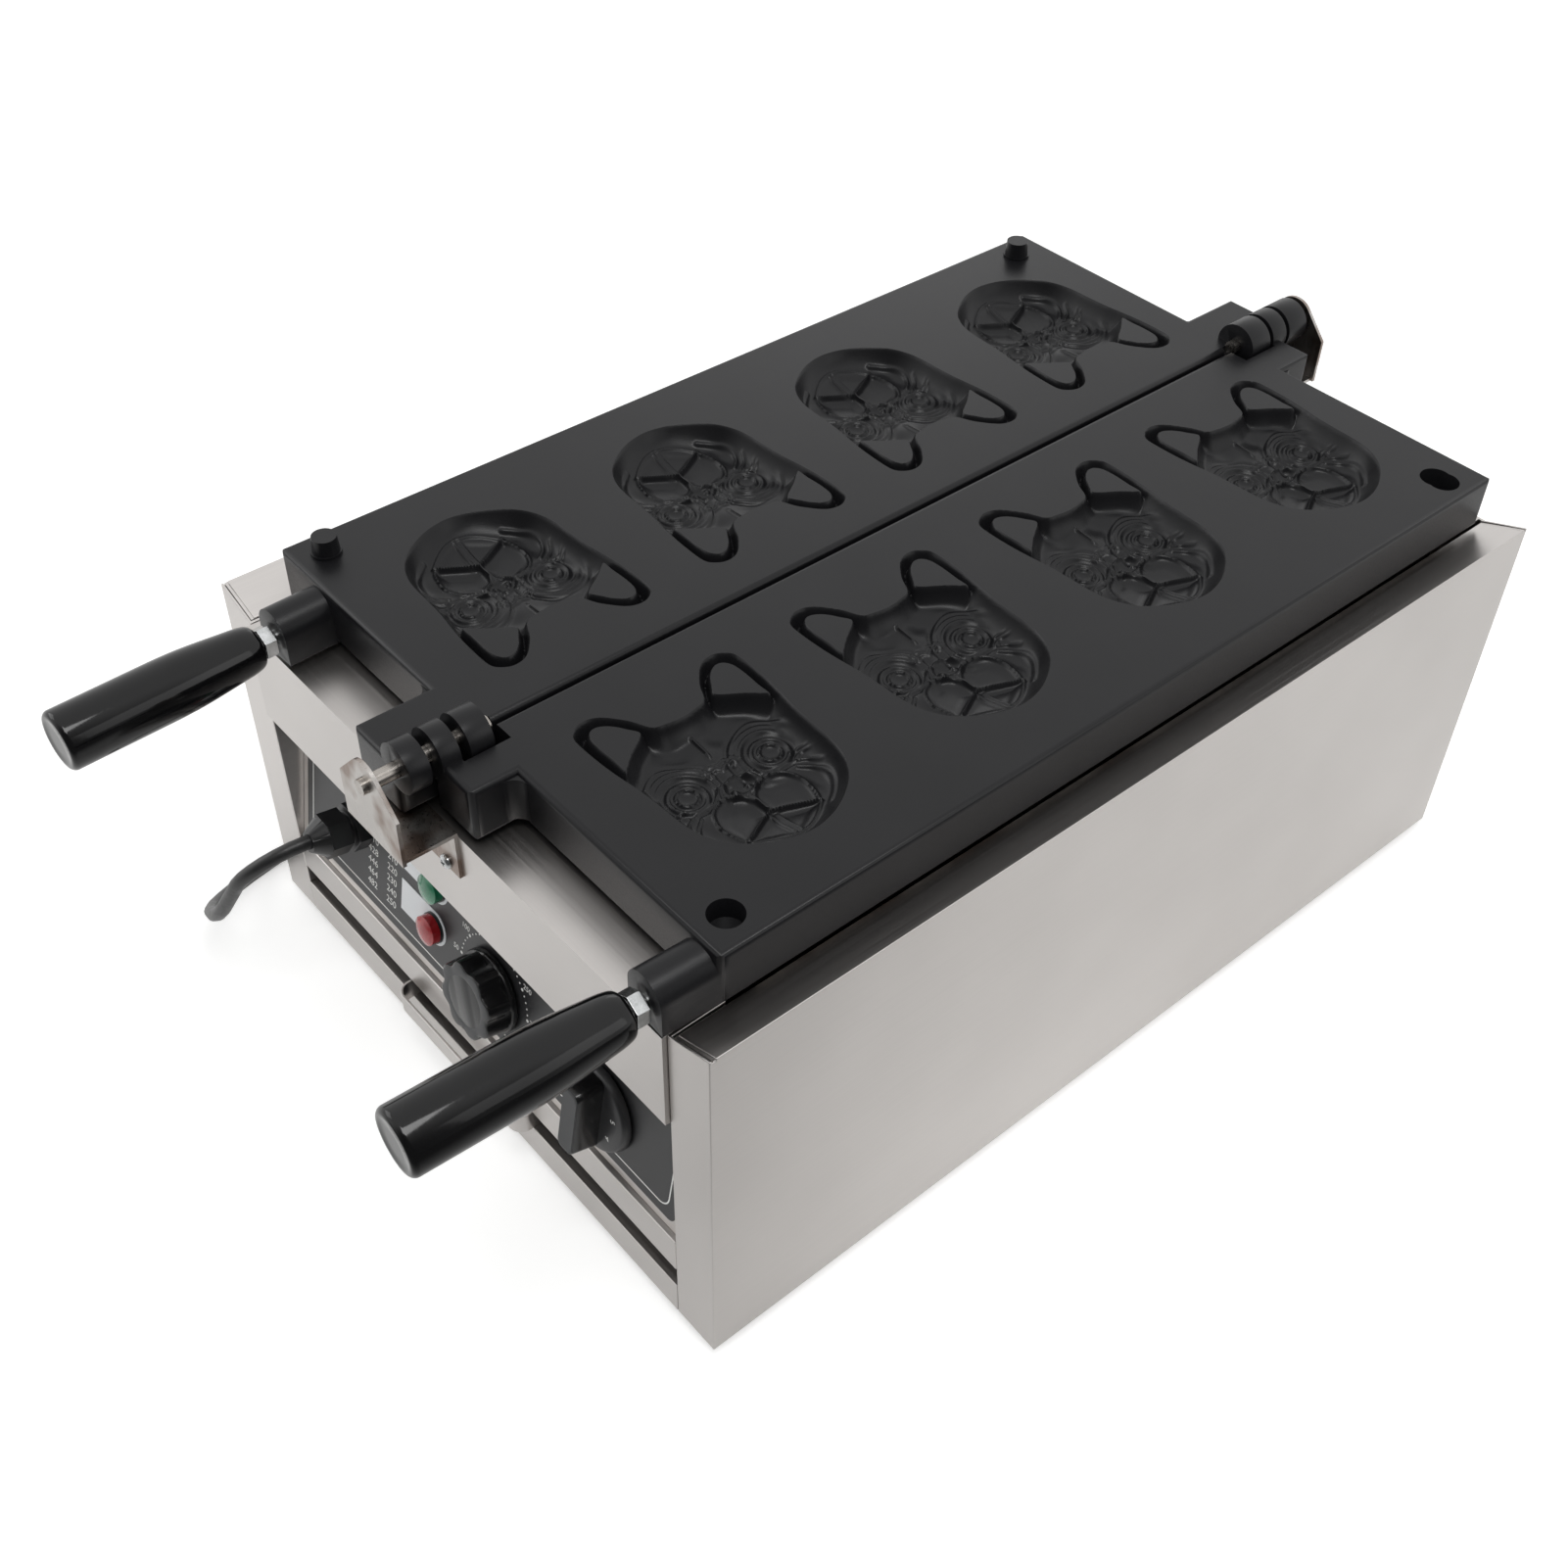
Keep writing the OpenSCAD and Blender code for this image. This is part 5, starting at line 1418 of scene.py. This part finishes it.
@dataclass
class ThermostatKnob:
    """Knob with broad finger hollows over a round skirt, and a sunk ring on its face.

    Sizes in mm. The dish is the sunk ring, as radii with their heights over the face. The
    pointer is a dot's radius and its distance from the middle.
    """

    radius: float = 22.9
    height: float = 16.4
    lift: float = 1.05
    skirt: float = 3.6
    hollows: int = 8
    bite: float = 2.6
    sharp: float = 1.4
    edge: float = 0.9
    dish: Outline = field(
        default_factory=lambda: [
            (14.6, 0.0), (13.4, -0.35), (12.6, -0.9), (11.4, -1.1),
            (6.4, -1.1), (6.0, -0.75), (5.2, -0.75), (4.8, -1.1),
        ]
    )
    pointer: tuple[float, float] = (1.15, 17.2)
    sides: int = 192

    def lobed(self, radius: float) -> np.ndarray:
        """Gives the outline with the finger hollows."""
        return ring_of(radius, self.sides, self.hollows, self.bite, self.sharp)

    def build(self) -> None:
        """Makes the body, the face and its pointer."""
        at = PANEL.at(PANEL.thermostat_x, PANEL.control_rise)
        low, top = self.lift, self.lift + self.height
        r, shoulder = self.radius, low + self.skirt
        rings = [
            (ring_of(r - 0.5, self.sides), low), (ring_of(r, self.sides), low + 0.5),
            (ring_of(r, self.sides), shoulder - 0.7), (ring_of(r - 0.5, self.sides), shoulder),
            (self.lobed(r - 0.6), shoulder + 0.25), (self.lobed(r - 1.2), top - 1.4),
            (self.lobed(r - 1.45), top - 0.55), (self.lobed(r - 1.45 - self.edge), top - 0.12),
        ]
        shell = smooth(lofted(rings, at, "thermostat_body_shell"), 36.0)
        body, slot = Body.THERMOSTAT, "knob_plastic"
        place(shell, "thermostat_knob_body", KNOB_GLOSS, body, ("thermostat_knob",))
        rim = r - 1.6 - self.edge
        face = [(self.lobed(rim), top - 0.6), (self.lobed(rim), top - 0.1)]
        face += [(self.lobed(rim - 0.25), top)]
        face += [(ring_of(q, self.sides), top + level) for q, level in self.dish]
        mesh = smooth(lofted(face, at, "thermostat_face"))
        place(mesh, "thermostat_knob_face", KNOB_FACE, body)
        radius, away = self.pointer
        spot = at @ Matrix.Translation((0, -away * MM, 0))
        dot = slab(ring_of(radius, 20), top - 0.3, top + 0.05, spot)
        place(dot, "thermostat_knob_pointer", KNOB_GLOSS, body)


@dataclass
class TimerKnob:
    """Knob with a bar grip over a dished skirt that carries the figures.

    Sizes in mm. A tick is half its length and half its width, and both insets are from the
    skirt's edge to the middle of the ticks and of the figures.
    """

    radius: float = 24.1
    lift: float = 1.05
    skirt: float = 4.9
    height: float = 19.8
    bar: float = 12.8
    bar_reach: float = 0.94
    first_mark: float = 16.0
    mark_pitch: float = 25.0
    tick: tuple[float, float] = (1.7, 0.22)
    tick_inset: float = 4.3
    figure: float = 4.6
    figure_inset: float = 8.6
    numbers: int = 6
    sides: int = 96

    def build(self) -> None:
        """Makes the skirt, the grip and the marks."""
        at = PANEL.at(PANEL.timer_x, PANEL.control_rise)
        low, r = self.lift, self.radius
        rise = low + self.skirt
        levels = [
            (r - 0.4, low), (r, low + 0.5), (r - 0.25, low + 1.6), (r - 1.0, rise - 1.3),
            (r - 1.5, rise - 0.6), (r - 2.4, rise - 0.25), (r - 7.2, rise), (r - 12.0, rise),
        ]
        skirt = lofted([(ring_of(q, self.sides), z) for q, z in levels], at, "timer_skirt")
        body, slot = Body.TIMER, "knob_plastic"
        place(smooth(skirt, 38.0), "timer_knob_skirt", KNOB_ABS, body, ("timer_knob",))
        self.build_grip(at, rise)
        place(self.marks(at, rise), "timer_knob_marks", WHITE_INK, body)

    def build_grip(self, at: Matrix, rise: float) -> None:
        """Makes the bar and its cap.

        Args:
            at: The knob's frame, in metres.
            rise: Height of the skirt's top in mm.
        """
        half, tall = self.bar / 2, self.lift + self.height
        reach = self.radius * self.bar_reach

        def bar(inset: float, end: float) -> np.ndarray:
            """Gives the bar's outline, drawn in at its sides and at its ends."""
            width, length = half - inset, reach - end
            return outline_of(width, -length, length, min(width * 0.72, 3.6))

        rings = [
            (bar(0.0, 0.8), rise - 1.2), (bar(0.1, 1.0), rise + 1.5), (bar(0.3, 1.9), rise + 8.0),
            (bar(0.5, 2.6), tall - 1.0), (bar(0.8, 3.0), tall - 0.35),
        ]
        cap = [
            (bar(0.85, 3.05), tall - 0.6), (bar(0.9, 3.1), tall - 0.3),
            (bar(1.25, 3.5), tall), (bar(2.6, 5.0), tall - 0.08),
        ]
        grip = smooth(lofted(rings, at, "timer_grip"), 36.0)
        place(grip, "timer_knob_grip", KNOB_GLOSS, Body.TIMER)
        cover = smooth(lofted(cap, at, "timer_cap"))
        place(cover, "timer_knob_cap", KNOB_FACE, Body.TIMER)

    def marks(self, at: Matrix, rise: float) -> bpy.types.Mesh:
        """Makes the ticks and the figures.

        Args:
            at: The knob's frame, in metres.
            rise: Height of the skirt's top in mm.

        Returns:
            The mesh, in the row frame.
        """
        long, wide = self.tick
        line = np.array([(-long, -wide), (long, -wide), (long, wide), (-long, wide)])
        tick = slab(line, -0.12, 0.05, Matrix())
        lie = at @ Matrix.Translation((0, 0, (rise - 0.3) * MM))
        count = 2 * self.numbers - 1
        radius, sweep = self.radius - self.tick_inset, -self.mark_pitch * (count - 1)
        made = [ring_of_marks(tick, count, radius, self.first_mark, sweep, lie)]
        for k in range(self.numbers):
            a = math.radians(self.first_mark - 2 * self.mark_pitch * k)
            arm = Vector((math.cos(a), math.sin(a), 0)) * (self.radius - self.figure_inset)
            spot = at @ Matrix.Translation((arm + Vector((0, 0, rise))) * MM)
            turned = spot @ Matrix.Rotation(a - math.pi / 2, 4, "Z")
            made.append(text_mesh(str(self.numbers - 1 - k), self.figure, turned))
        return joined("timer_marks", made)


@dataclass
class PanHeadScrews:
    """Pan-head screws with a cross recess, in rows that face one way along Y. Sizes in mm."""

    head: float
    tall: float
    shank: float
    reach: float
    step: Point
    count: int
    spin: float = 25.0
    sides: int = 32

    def one(self) -> bpy.types.Object:
        """Makes one screw, with its head's underside at the origin.

        Returns:
            The screw's working object, facing against Y.
        """
        r, h, shank = self.head / 2, self.tall, self.shank / 2
        profile = [
            (shank - 0.4, -self.reach), (shank, -self.reach + 0.4), (shank, 0.0), (r - 0.15, 0.0),
            (r, 0.2), (r, h * 0.32), (r * 0.96, h * 0.55), (r * 0.85, h * 0.78),
            (r * 0.66, h * 0.92), (r * 0.4, h),
        ]
        rings = [(ring_of(q, self.sides), z) for q, z in profile]
        body = loose_object("screw", lofted(rings, Matrix(), "screw"))
        long, wide = r * 0.5, self.head * 0.07
        top = np.array([(-long, -wide), (long, -wide), (long, wide), (-long, wide)])
        blades = []
        for turn in (0.0, math.pi / 2):
            levels = [(top * 0.55, h * 0.25), (top, h + 0.3)]
            blade = lofted(levels, Matrix.Rotation(turn, 4, "Z"), "blade")
            blades.append(loose_object("blade", blade))
            combine(body, "cut", blades[-1], "DIFFERENCE")
        mesh = baked(body)
        for blade in blades:
            bpy.data.objects.remove(blade)
        spin = Matrix.Rotation(math.radians(self.spin), 4, "Z")
        mesh.transform(Matrix.Rotation(math.radians(90.0), 4, "X") @ spin)
        mesh.materials.clear()
        return loose_object("screws", mesh)

    def row(self, first: Point, outward: int) -> bpy.types.Mesh:
        """Repeats the screw in a row.

        Args:
            first: Place of the first one in mm.
            outward: 1 where the heads face along Y, and -1 where they face against it.

        Returns:
            The mesh, in the row frame.
        """
        row = self.one()
        start, step = (tuple(v * MM for v in vector) for vector in (first, self.step))
        repeated_row(row, self.count, start, step, 0.0 if outward < 0 else math.pi, ZINC)
        return baked(row)


def build_screws() -> None:
    """Makes the brackets' and the back cover's screws."""
    large = PanHeadScrews(8.0, 3.0, 4.0, 13.0, (24.0, 0, 0), 2)
    small = PanHeadScrews(7.0, 1.6, 3.4, 1.2, (0, 0, 74.35), 3)
    rows = {
        "bracket_screws": [
            large.row((-12.0, -253.8, 198.0), -1), large.row((-12.0, 323.2, 198.0), 1),
        ],
        "back_screws": [small.row((x, 321.8, 39.9), 1) for x in (-182.5, 182.5)],
    }
    for node, meshes in rows.items():
        mesh = smooth(joined(node, meshes))
        place(mesh, node + "_cross", ZINC, Body.BASE, (node,))


@dataclass
class Grip:
    """Phenolic grip, turned in shape, with the stud's hole in its root. Sizes in mm.

    The profile is its radius at distances from its root.
    """

    node: str
    body: Body
    x: float
    side: int
    boss_y: float = -252.76
    stud_z: float = 235.0
    splay: float = 2.5
    start: float = 9.0
    bore: float = 4.05
    bore_depth: float = 33.0
    sides: int = 72
    profile: Outline = field(
        default_factory=lambda: [
            (0.0, 7.05), (0.25, 8.3), (0.7, 9.4), (1.4, 10.35), (2.3, 11.0), (3.6, 11.55),
            (6.4, 12.15), (9.5, 12.6), (12.7, 12.87), (17.0, 13.27), (21.2, 13.7), (26.5, 14.2),
            (31.8, 14.68), (37.0, 15.05), (42.4, 15.31), (47.7, 15.45), (53.0, 15.5), (78.0, 15.5),
            (103.2, 15.5), (104.0, 15.38), (104.8, 15.0), (105.4, 14.45), (105.8, 13.9),
            (106.0, 13.3), (105.95, 11.5), (105.7, 10.6), (105.6, 6.0),
        ]
    )

    def build(self) -> None:
        """Makes the grip."""
        splay = Matrix.Rotation(math.radians(-self.splay * self.side), 4, "Z")
        turn = splay @ Matrix.Rotation(math.pi / 2, 4, "X")
        spot = Vector((self.x * self.side, self.boss_y, self.stud_z))
        hole = ring_of(self.bore, self.sides)
        rings = [(hole, self.start + self.bore_depth), (hole, self.start)]
        rings += [(ring_of(r, self.sides), self.start + z) for z, r in self.profile]
        mesh = smooth(lofted(rings, Matrix.Translation(spot * MM) @ turn, self.node), 50.0)
        place(mesh, self.node + "_turned", PHENOLIC, self.body, (self.node,))


# Seams of the casing


@dataclass
class CornerSeams:
    """Folded tabs that close the casing's corners, under the slope of its top. Sizes in mm."""

    half_w: float = 200.0
    strip_in: float = 175.0
    top_z: float = 230.0
    inner_z: float = 221.0
    wall: float = 1.5
    edge: float = 0.3
    below: float = 0.35
    depth: float = 3.0
    spans: tuple[tuple[float, float], ...] = ((-247.86, -246.26), (316.74, 318.34))

    def build(self) -> None:
        """Makes the four tabs as one piece."""
        turn = Matrix.Rotation(math.pi / 2, 4, "X")
        outer, inside = self.half_w - self.edge, self.half_w - self.wall - self.edge
        low, sill = self.inner_z - self.depth, self.top_z - self.wall
        slope = (self.top_z - self.inner_z) / (self.half_w - self.strip_in)
        outline = np.array([
            (outer, self.top_z - self.edge * slope - self.below),
            (self.strip_in, self.inner_z - self.below),
            (self.strip_in, low), (inside, low), (inside, sill), (outer, sill),
        ])
        tabs = [
            slab(outline * (side, 1), -high, -start, turn)
            for side in (-1, 1) for start, high in self.spans
        ]
        name = "corner_seams"
        place(joined(name, tabs), name, SIDE_SHEET, Body.BASE)


# Folded, moulded and cast pieces that only need their edges eased

EASED: dict[Body, tuple[tuple[str, float, str], ...]] = {
    Body.BASE: (
        ("side_panel_left", 0.7, "stainless_sheet"),
        ("side_panel_right", 0.7, "stainless_sheet"),
        ("front_fascia", 0.7, "stainless_sheet"),
        ("front_rail", 0.7, "stainless_sheet"),
        ("hinge_bracket_front", 0.5, "bracket_steel"),
        ("hinge_bracket_rear", 0.5, "bracket_steel"),
        ("gland_body", 0.5, "black_nylon"),
        ("gland_nut", 0.5, "black_nylon"),
        ("rubber_feet", 0.6, "foot_rubber"),
    ),
    Body.PLATE_LEFT: (("locknut_left", 0.4, "zinc_fasteners"),),
    Body.PLATE_RIGHT: (("locknut_right", 0.4, "zinc_fasteners"),),
    Body.TRAY: (("tray", 0.4, "stainless_sheet"), ("tray_pull", 0.5, "stainless_sheet")),
}


def build_eased() -> None:
    """Makes the copies with eased edges."""
    for body, rows in EASED.items():
        for node, width, slot in rows:
            eased(node, width, NODE_FINISHES[node], body)


# Studio


@dataclass
class Studio:
    """Camera, floor and lights of the picture."""

    position: Point = (0.5576, -0.52996, 0.8172)
    azimuth: float = 48.54
    elevation: float = 43.68
    roll: float = 1.44
    focal_pixels: float = 1890.9
    image_pixels: float = 1601.0
    sensor: float = 36.0
    floor_size: float = 6.0
    paper: str = "#f4f4f3"
    floor_glow: float = 0.42
    mirror_glow: float = 0.5
    world_level: float = 0.55
    room_edge: tuple[float, float] = (0.1, 0.75)
    room_level: float = 0.1
    lamps: tuple[tuple[str, Point, Point, tuple[float, float], float], ...] = (
        ("soft_box_top", (0.7, -0.5, 2.1), (0, 0, 0.2), (0.9, 0.8), 14.0),
        ("soft_box_left", (-1.9, -1.2, 1.3), (0, 0, 0.1), (1.4, 1.2), 8.0),
        ("strip_back", (-2.1, 1.9, 1.25), (0, 0, 0.25), (0.9, 0.6), 1.3),
        ("soft_box_right", (2.2, 0.7, 1.2), (0.1, 0, 0.15), (1.4, 1.2), 4.0),
    )

    def camera(self) -> None:
        """Sets the camera where the photograph was taken from."""
        a, e, c = (math.radians(v) for v in (self.azimuth, self.elevation, self.roll))
        back = Vector((math.sin(a) * math.cos(e), -math.cos(a) * math.cos(e), math.sin(e)))
        right = Vector((0, 0, 1)).cross(back).normalized()
        up = back.cross(right)
        across = right * math.cos(c) + up * math.sin(c)
        upward = up * math.cos(c) - right * math.sin(c)
        turn = Matrix((across, upward, back)).transposed().to_4x4()
        lens = bpy.data.cameras.new("studio_camera")
        lens.sensor_width = self.sensor
        lens.lens = self.focal_pixels / self.image_pixels * self.sensor
        lens.clip_start, lens.clip_end = 0.01, 30.0
        camera = bpy.data.objects.new("studio_camera", lens)
        camera.matrix_world = Matrix.Translation(self.position) @ turn
        bpy.context.scene.collection.objects.link(camera)
        bpy.context.scene.camera = camera

    def room(self, tree: bpy.types.NodeTree, where: bpy.types.NodeSocket) -> bpy.types.NodeSocket:
        """Gives how bright a mirror sees the studio: dim only towards the room behind the camera.

        Args:
            tree: The node tree.
            where: A direction, or a place on the floor in metres.

        Returns:
            The socket that gives the share.
        """
        a = math.radians(self.azimuth)
        towards = add(
            tree, "ShaderNodeVectorMath", {0: where, 1: (math.sin(a), -math.cos(a), 0.0)},
            operation="DOT_PRODUCT",
        )
        low, high = self.room_edge
        share = add(
            tree, "ShaderNodeMapRange",
            {
                "Value": towards.outputs["Value"],
                "From Min": low,
                "From Max": high,
                "To Min": 1.0,
                "To Max": self.room_level,
            },
            interpolation_type="SMOOTHSTEP",
        )
        return share.outputs[0]

    def to_eye(
        self, tree: bpy.types.NodeTree, path: bpy.types.NodeOutputs
    ) -> bpy.types.NodeSocket:
        """Gives one for a ray that ends in the camera, straight or through a lens."""
        return maths(tree, "ADD", path["Is Camera Ray"], path["Is Transmission Ray"], clamp=True)

    def floor(self) -> None:
        """Lays the pale floor, white to the eye except under the object's shadow, with painted shade
        towards the camera where mirrors see it.
        """
        half = self.floor_size / 2
        corners = [(-half, -half, 0), (half, -half, 0), (half, half, 0), (-half, half, 0)]
        mesh = bpy.data.meshes.new("floor")
        mesh.from_pydata(corners, [], [(0, 1, 2, 3)])
        made = bpy.data.materials.new("floor_paper_white")
        made.use_nodes = True
        tree = made.node_tree
        tree.nodes.clear()
        path = add(tree, "ShaderNodeLightPath").outputs
        where = add(tree, "ShaderNodeTexCoord").outputs["Object"]
        mirrored = path["Is Glossy Ray"]
        # Painted shade: mirrors see the floor's paper darker and its glow weaker towards the camera
        dim = maths(tree, "MULTIPLY", mirrored, self.room(tree, where))
        part = maths(tree, "MULTIPLY", dim, self.mirror_glow)
        seen = maths(tree, "ADD", self.to_eye(tree, path), part, clamp=True)
        glow = maths(tree, "MULTIPLY", seen, self.floor_glow)
        shade = add(tree, "ShaderNodeMix", {0: mirrored, 2: 1.0, 3: dim}, data_type="FLOAT")
        tone = add(
            tree, "ShaderNodeMix",
            {0: shade.outputs[0], 6: (0, 0, 0, 1), 7: linear(self.paper)}, data_type="RGBA",
        )
        paper = add(tree, "ShaderNodeBsdfDiffuse", {"Color": tone.outputs[2]})
        light = add(tree, "ShaderNodeEmission", {"Color": (1, 1, 1, 1), "Strength": glow})
        both = add(tree, "ShaderNodeAddShader", {0: paper.outputs[0], 1: light.outputs[0]})
        add(tree, "ShaderNodeOutputMaterial", {"Surface": both.outputs[0]})
        mesh.materials.append(made)
        floor = bpy.data.objects.new("floor", mesh)
        bpy.context.scene.collection.objects.link(floor)

    def world(self) -> None:
        """Makes the surroundings white to the eye and to mirrors, and a plain grey to the light."""
        world = bpy.data.worlds.new("studio_white")
        bpy.context.scene.world = world
        world.use_nodes = True
        tree = world.node_tree
        tree.nodes.clear()
        path = add(tree, "ShaderNodeLightPath").outputs
        where = add(tree, "ShaderNodeTexCoord").outputs["Generated"]
        plain, mirror, white = (
            add(tree, "ShaderNodeBackground", {"Color": (1, 1, 1, 1), "Strength": level})
            for level in (self.world_level, self.room(tree, where), 1.0)
        )
        glossy = add(
            tree, "ShaderNodeMixShader",
            {0: path["Is Glossy Ray"], 1: plain.outputs[0], 2: mirror.outputs[0]},
        )
        both = add(
            tree, "ShaderNodeMixShader",
            {0: self.to_eye(tree, path), 1: glossy.outputs[0], 2: white.outputs[0]},
        )
        add(tree, "ShaderNodeOutputWorld", {"Surface": both.outputs[0]})

    def lamp(
        self, name: str, place_at: Point, aim: Point, size: tuple[float, float], power: float
    ) -> None:
        """Hangs one soft box.

        Args:
            name: The lamp's name.
            place_at: Where it hangs.
            aim: The point that it faces.
            size: Its width and height in metres.
            power: Its power in watts.
        """
        light = bpy.data.lights.new(name, "AREA")
        light.shape = "RECTANGLE"
        light.size, light.size_y = size
        light.energy = power
        holder = bpy.data.objects.new(name, light)
        holder.location = place_at
        holder.rotation_mode = "QUATERNION"
        holder.rotation_quaternion = (Vector(aim) - Vector(place_at)).to_track_quat("-Z", "Y")
        bpy.context.scene.collection.objects.link(holder)

    def build(self) -> None:
        """Sets up everything around the object."""
        scene = bpy.context.scene
        scene.view_settings.view_transform = "Standard"
        self.camera()
        self.floor()
        self.world()
        for lamp in self.lamps:
            self.lamp(*lamp)


# Mains lead

# From the casing's own frame, in which the lead is laid, to the row frame, in mm
CASING_SHIFT = (0.0, 35.2397, 8.0)


@dataclass
class MainsLead:
    """The mains cord: out of the gland, down to the floor, and into a coil beside the casing."""

    diameter: float = 8.0
    first_run: list[Point] = field(
        default_factory=lambda: [
            (-112, -298, 113.3), (-112, -306, 114.7), (-113, -313.9, 114.5),
            (-114.8, -321.5, 112.7), (-117.5, -328.3, 109.4), (-120.8, -334, 104.9),
            (-124.7, -338.2, 99.3), (-128.8, -340.8, 92.9), (-132.9, -341.5, 86.1),
            (-143, -346.5, 66.5), (-152.5, -347, 54.5), (-164, -346, 43.5),
            (-177, -343, 33), (-189, -337, 23), (-200, -328, 14), (-210, -316, 6.5),
            (-218, -303, 1), (-224, -288, -2.5), (-228, -272, -4), (-230, -256, -4),
            (-230.4, -240, -4), (-230.4, -220, -4), (-230.4, -200, -4), (-230.4, -180, -4),
            (-230.4, -160, -4), (-230.4, -140, -4), (-230.4, -118, -4),
        ]
    )
    coil_start: Point = (-230.4, -110.0, -4.0)
    coil_radius: float = 44.0
    coil_pitch: float = 8.6
    turns: int = 5
    steps: int = 24
    plug_axis: float = 10.0
    tail: tuple[float, float, float] = (11.0, 22.0, 30.0)

    def coil(self) -> list[Point]:
        """Gives the coil: in to the middle below, and out again above.

        Returns:
            Its points in mm, in the casing's frame.
        """
        half = self.turns / 2
        swing = self.coil_pitch * half / 2
        start_x, centre_y, low = self.coil_start
        centre_x = start_x - self.coil_radius - swing
        found = []
        for i in range(self.turns * self.steps + 1):
            t = i / self.steps
            r = self.coil_radius + self.coil_pitch * (abs(t - half) - half / 2)
            lift = min(max((t - half + 0.25) / 0.5, 0.0), 1.0)
            z = low + self.coil_pitch * lift * lift * (3 - 2 * lift)
            angle = math.tau * t
            found.append((centre_x + r * math.cos(angle), centre_y + r * math.sin(angle), z))
        return found

    def route(self) -> list[Vector]:
        """Gives the whole route.

        Returns:
            Its points in metres, in the row frame.
        """
        x, y, z = self.coil_start
        high = z + self.coil_pitch
        middle = high + (self.plug_axis - high) / 2
        heights = (middle, self.plug_axis, self.plug_axis)
        tail = [(x, y + step, height) for step, height in zip(self.tail, heights)]
        points = self.first_run + self.coil() + tail
        return [(Vector(p) + Vector(CASING_SHIFT)) * MM for p in points]

    def build(self) -> None:
        points = self.route()
        curve = bpy.data.curves.new("mains_lead", "CURVE")
        curve.dimensions = "3D"
        curve.bevel_depth = self.diameter / 2 * MM
        curve.bevel_resolution = 5
        curve.use_fill_caps = True
        line = curve.splines.new("POLY")
        line.points.add(len(points) - 1)
        for spot, p in zip(line.points, points):
            spot.co = (*p, 1.0)
        line.use_smooth = True
        curve.materials.append(CORD_PVC.material())
        lead = bpy.data.objects.new("mains_lead", curve)
        bpy.context.scene.collection.objects.link(lead)
        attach(lead, Body.BASE.value)
        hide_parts("cord", "cord_coil")


def main() -> None:
    """Builds the picture: studio first, then the lead, then every sub-assembly."""
    logging.basicConfig(level=logging.INFO, format="%(message)s")
    Studio().build()
    MainsLead().build()
    dress_nodes()
    mould = BulldogMould()
    CookingPlate("plate_left", Body.PLATE_LEFT, -1).build(mould)
    CookingPlate("plate_right", Body.PLATE_RIGHT, 1).build(mould)
    PanelPrint().build()
    ThermostatKnob().build()
    TimerKnob().build()
    Grip("handle_left", Body.PLATE_LEFT, 138.0, -1).build()
    Grip("handle_right", Body.PLATE_RIGHT, 162.0, 1).build()
    build_screws()
    CornerSeams().build()
    build_eased()


if __name__ == "__main__":
    main()
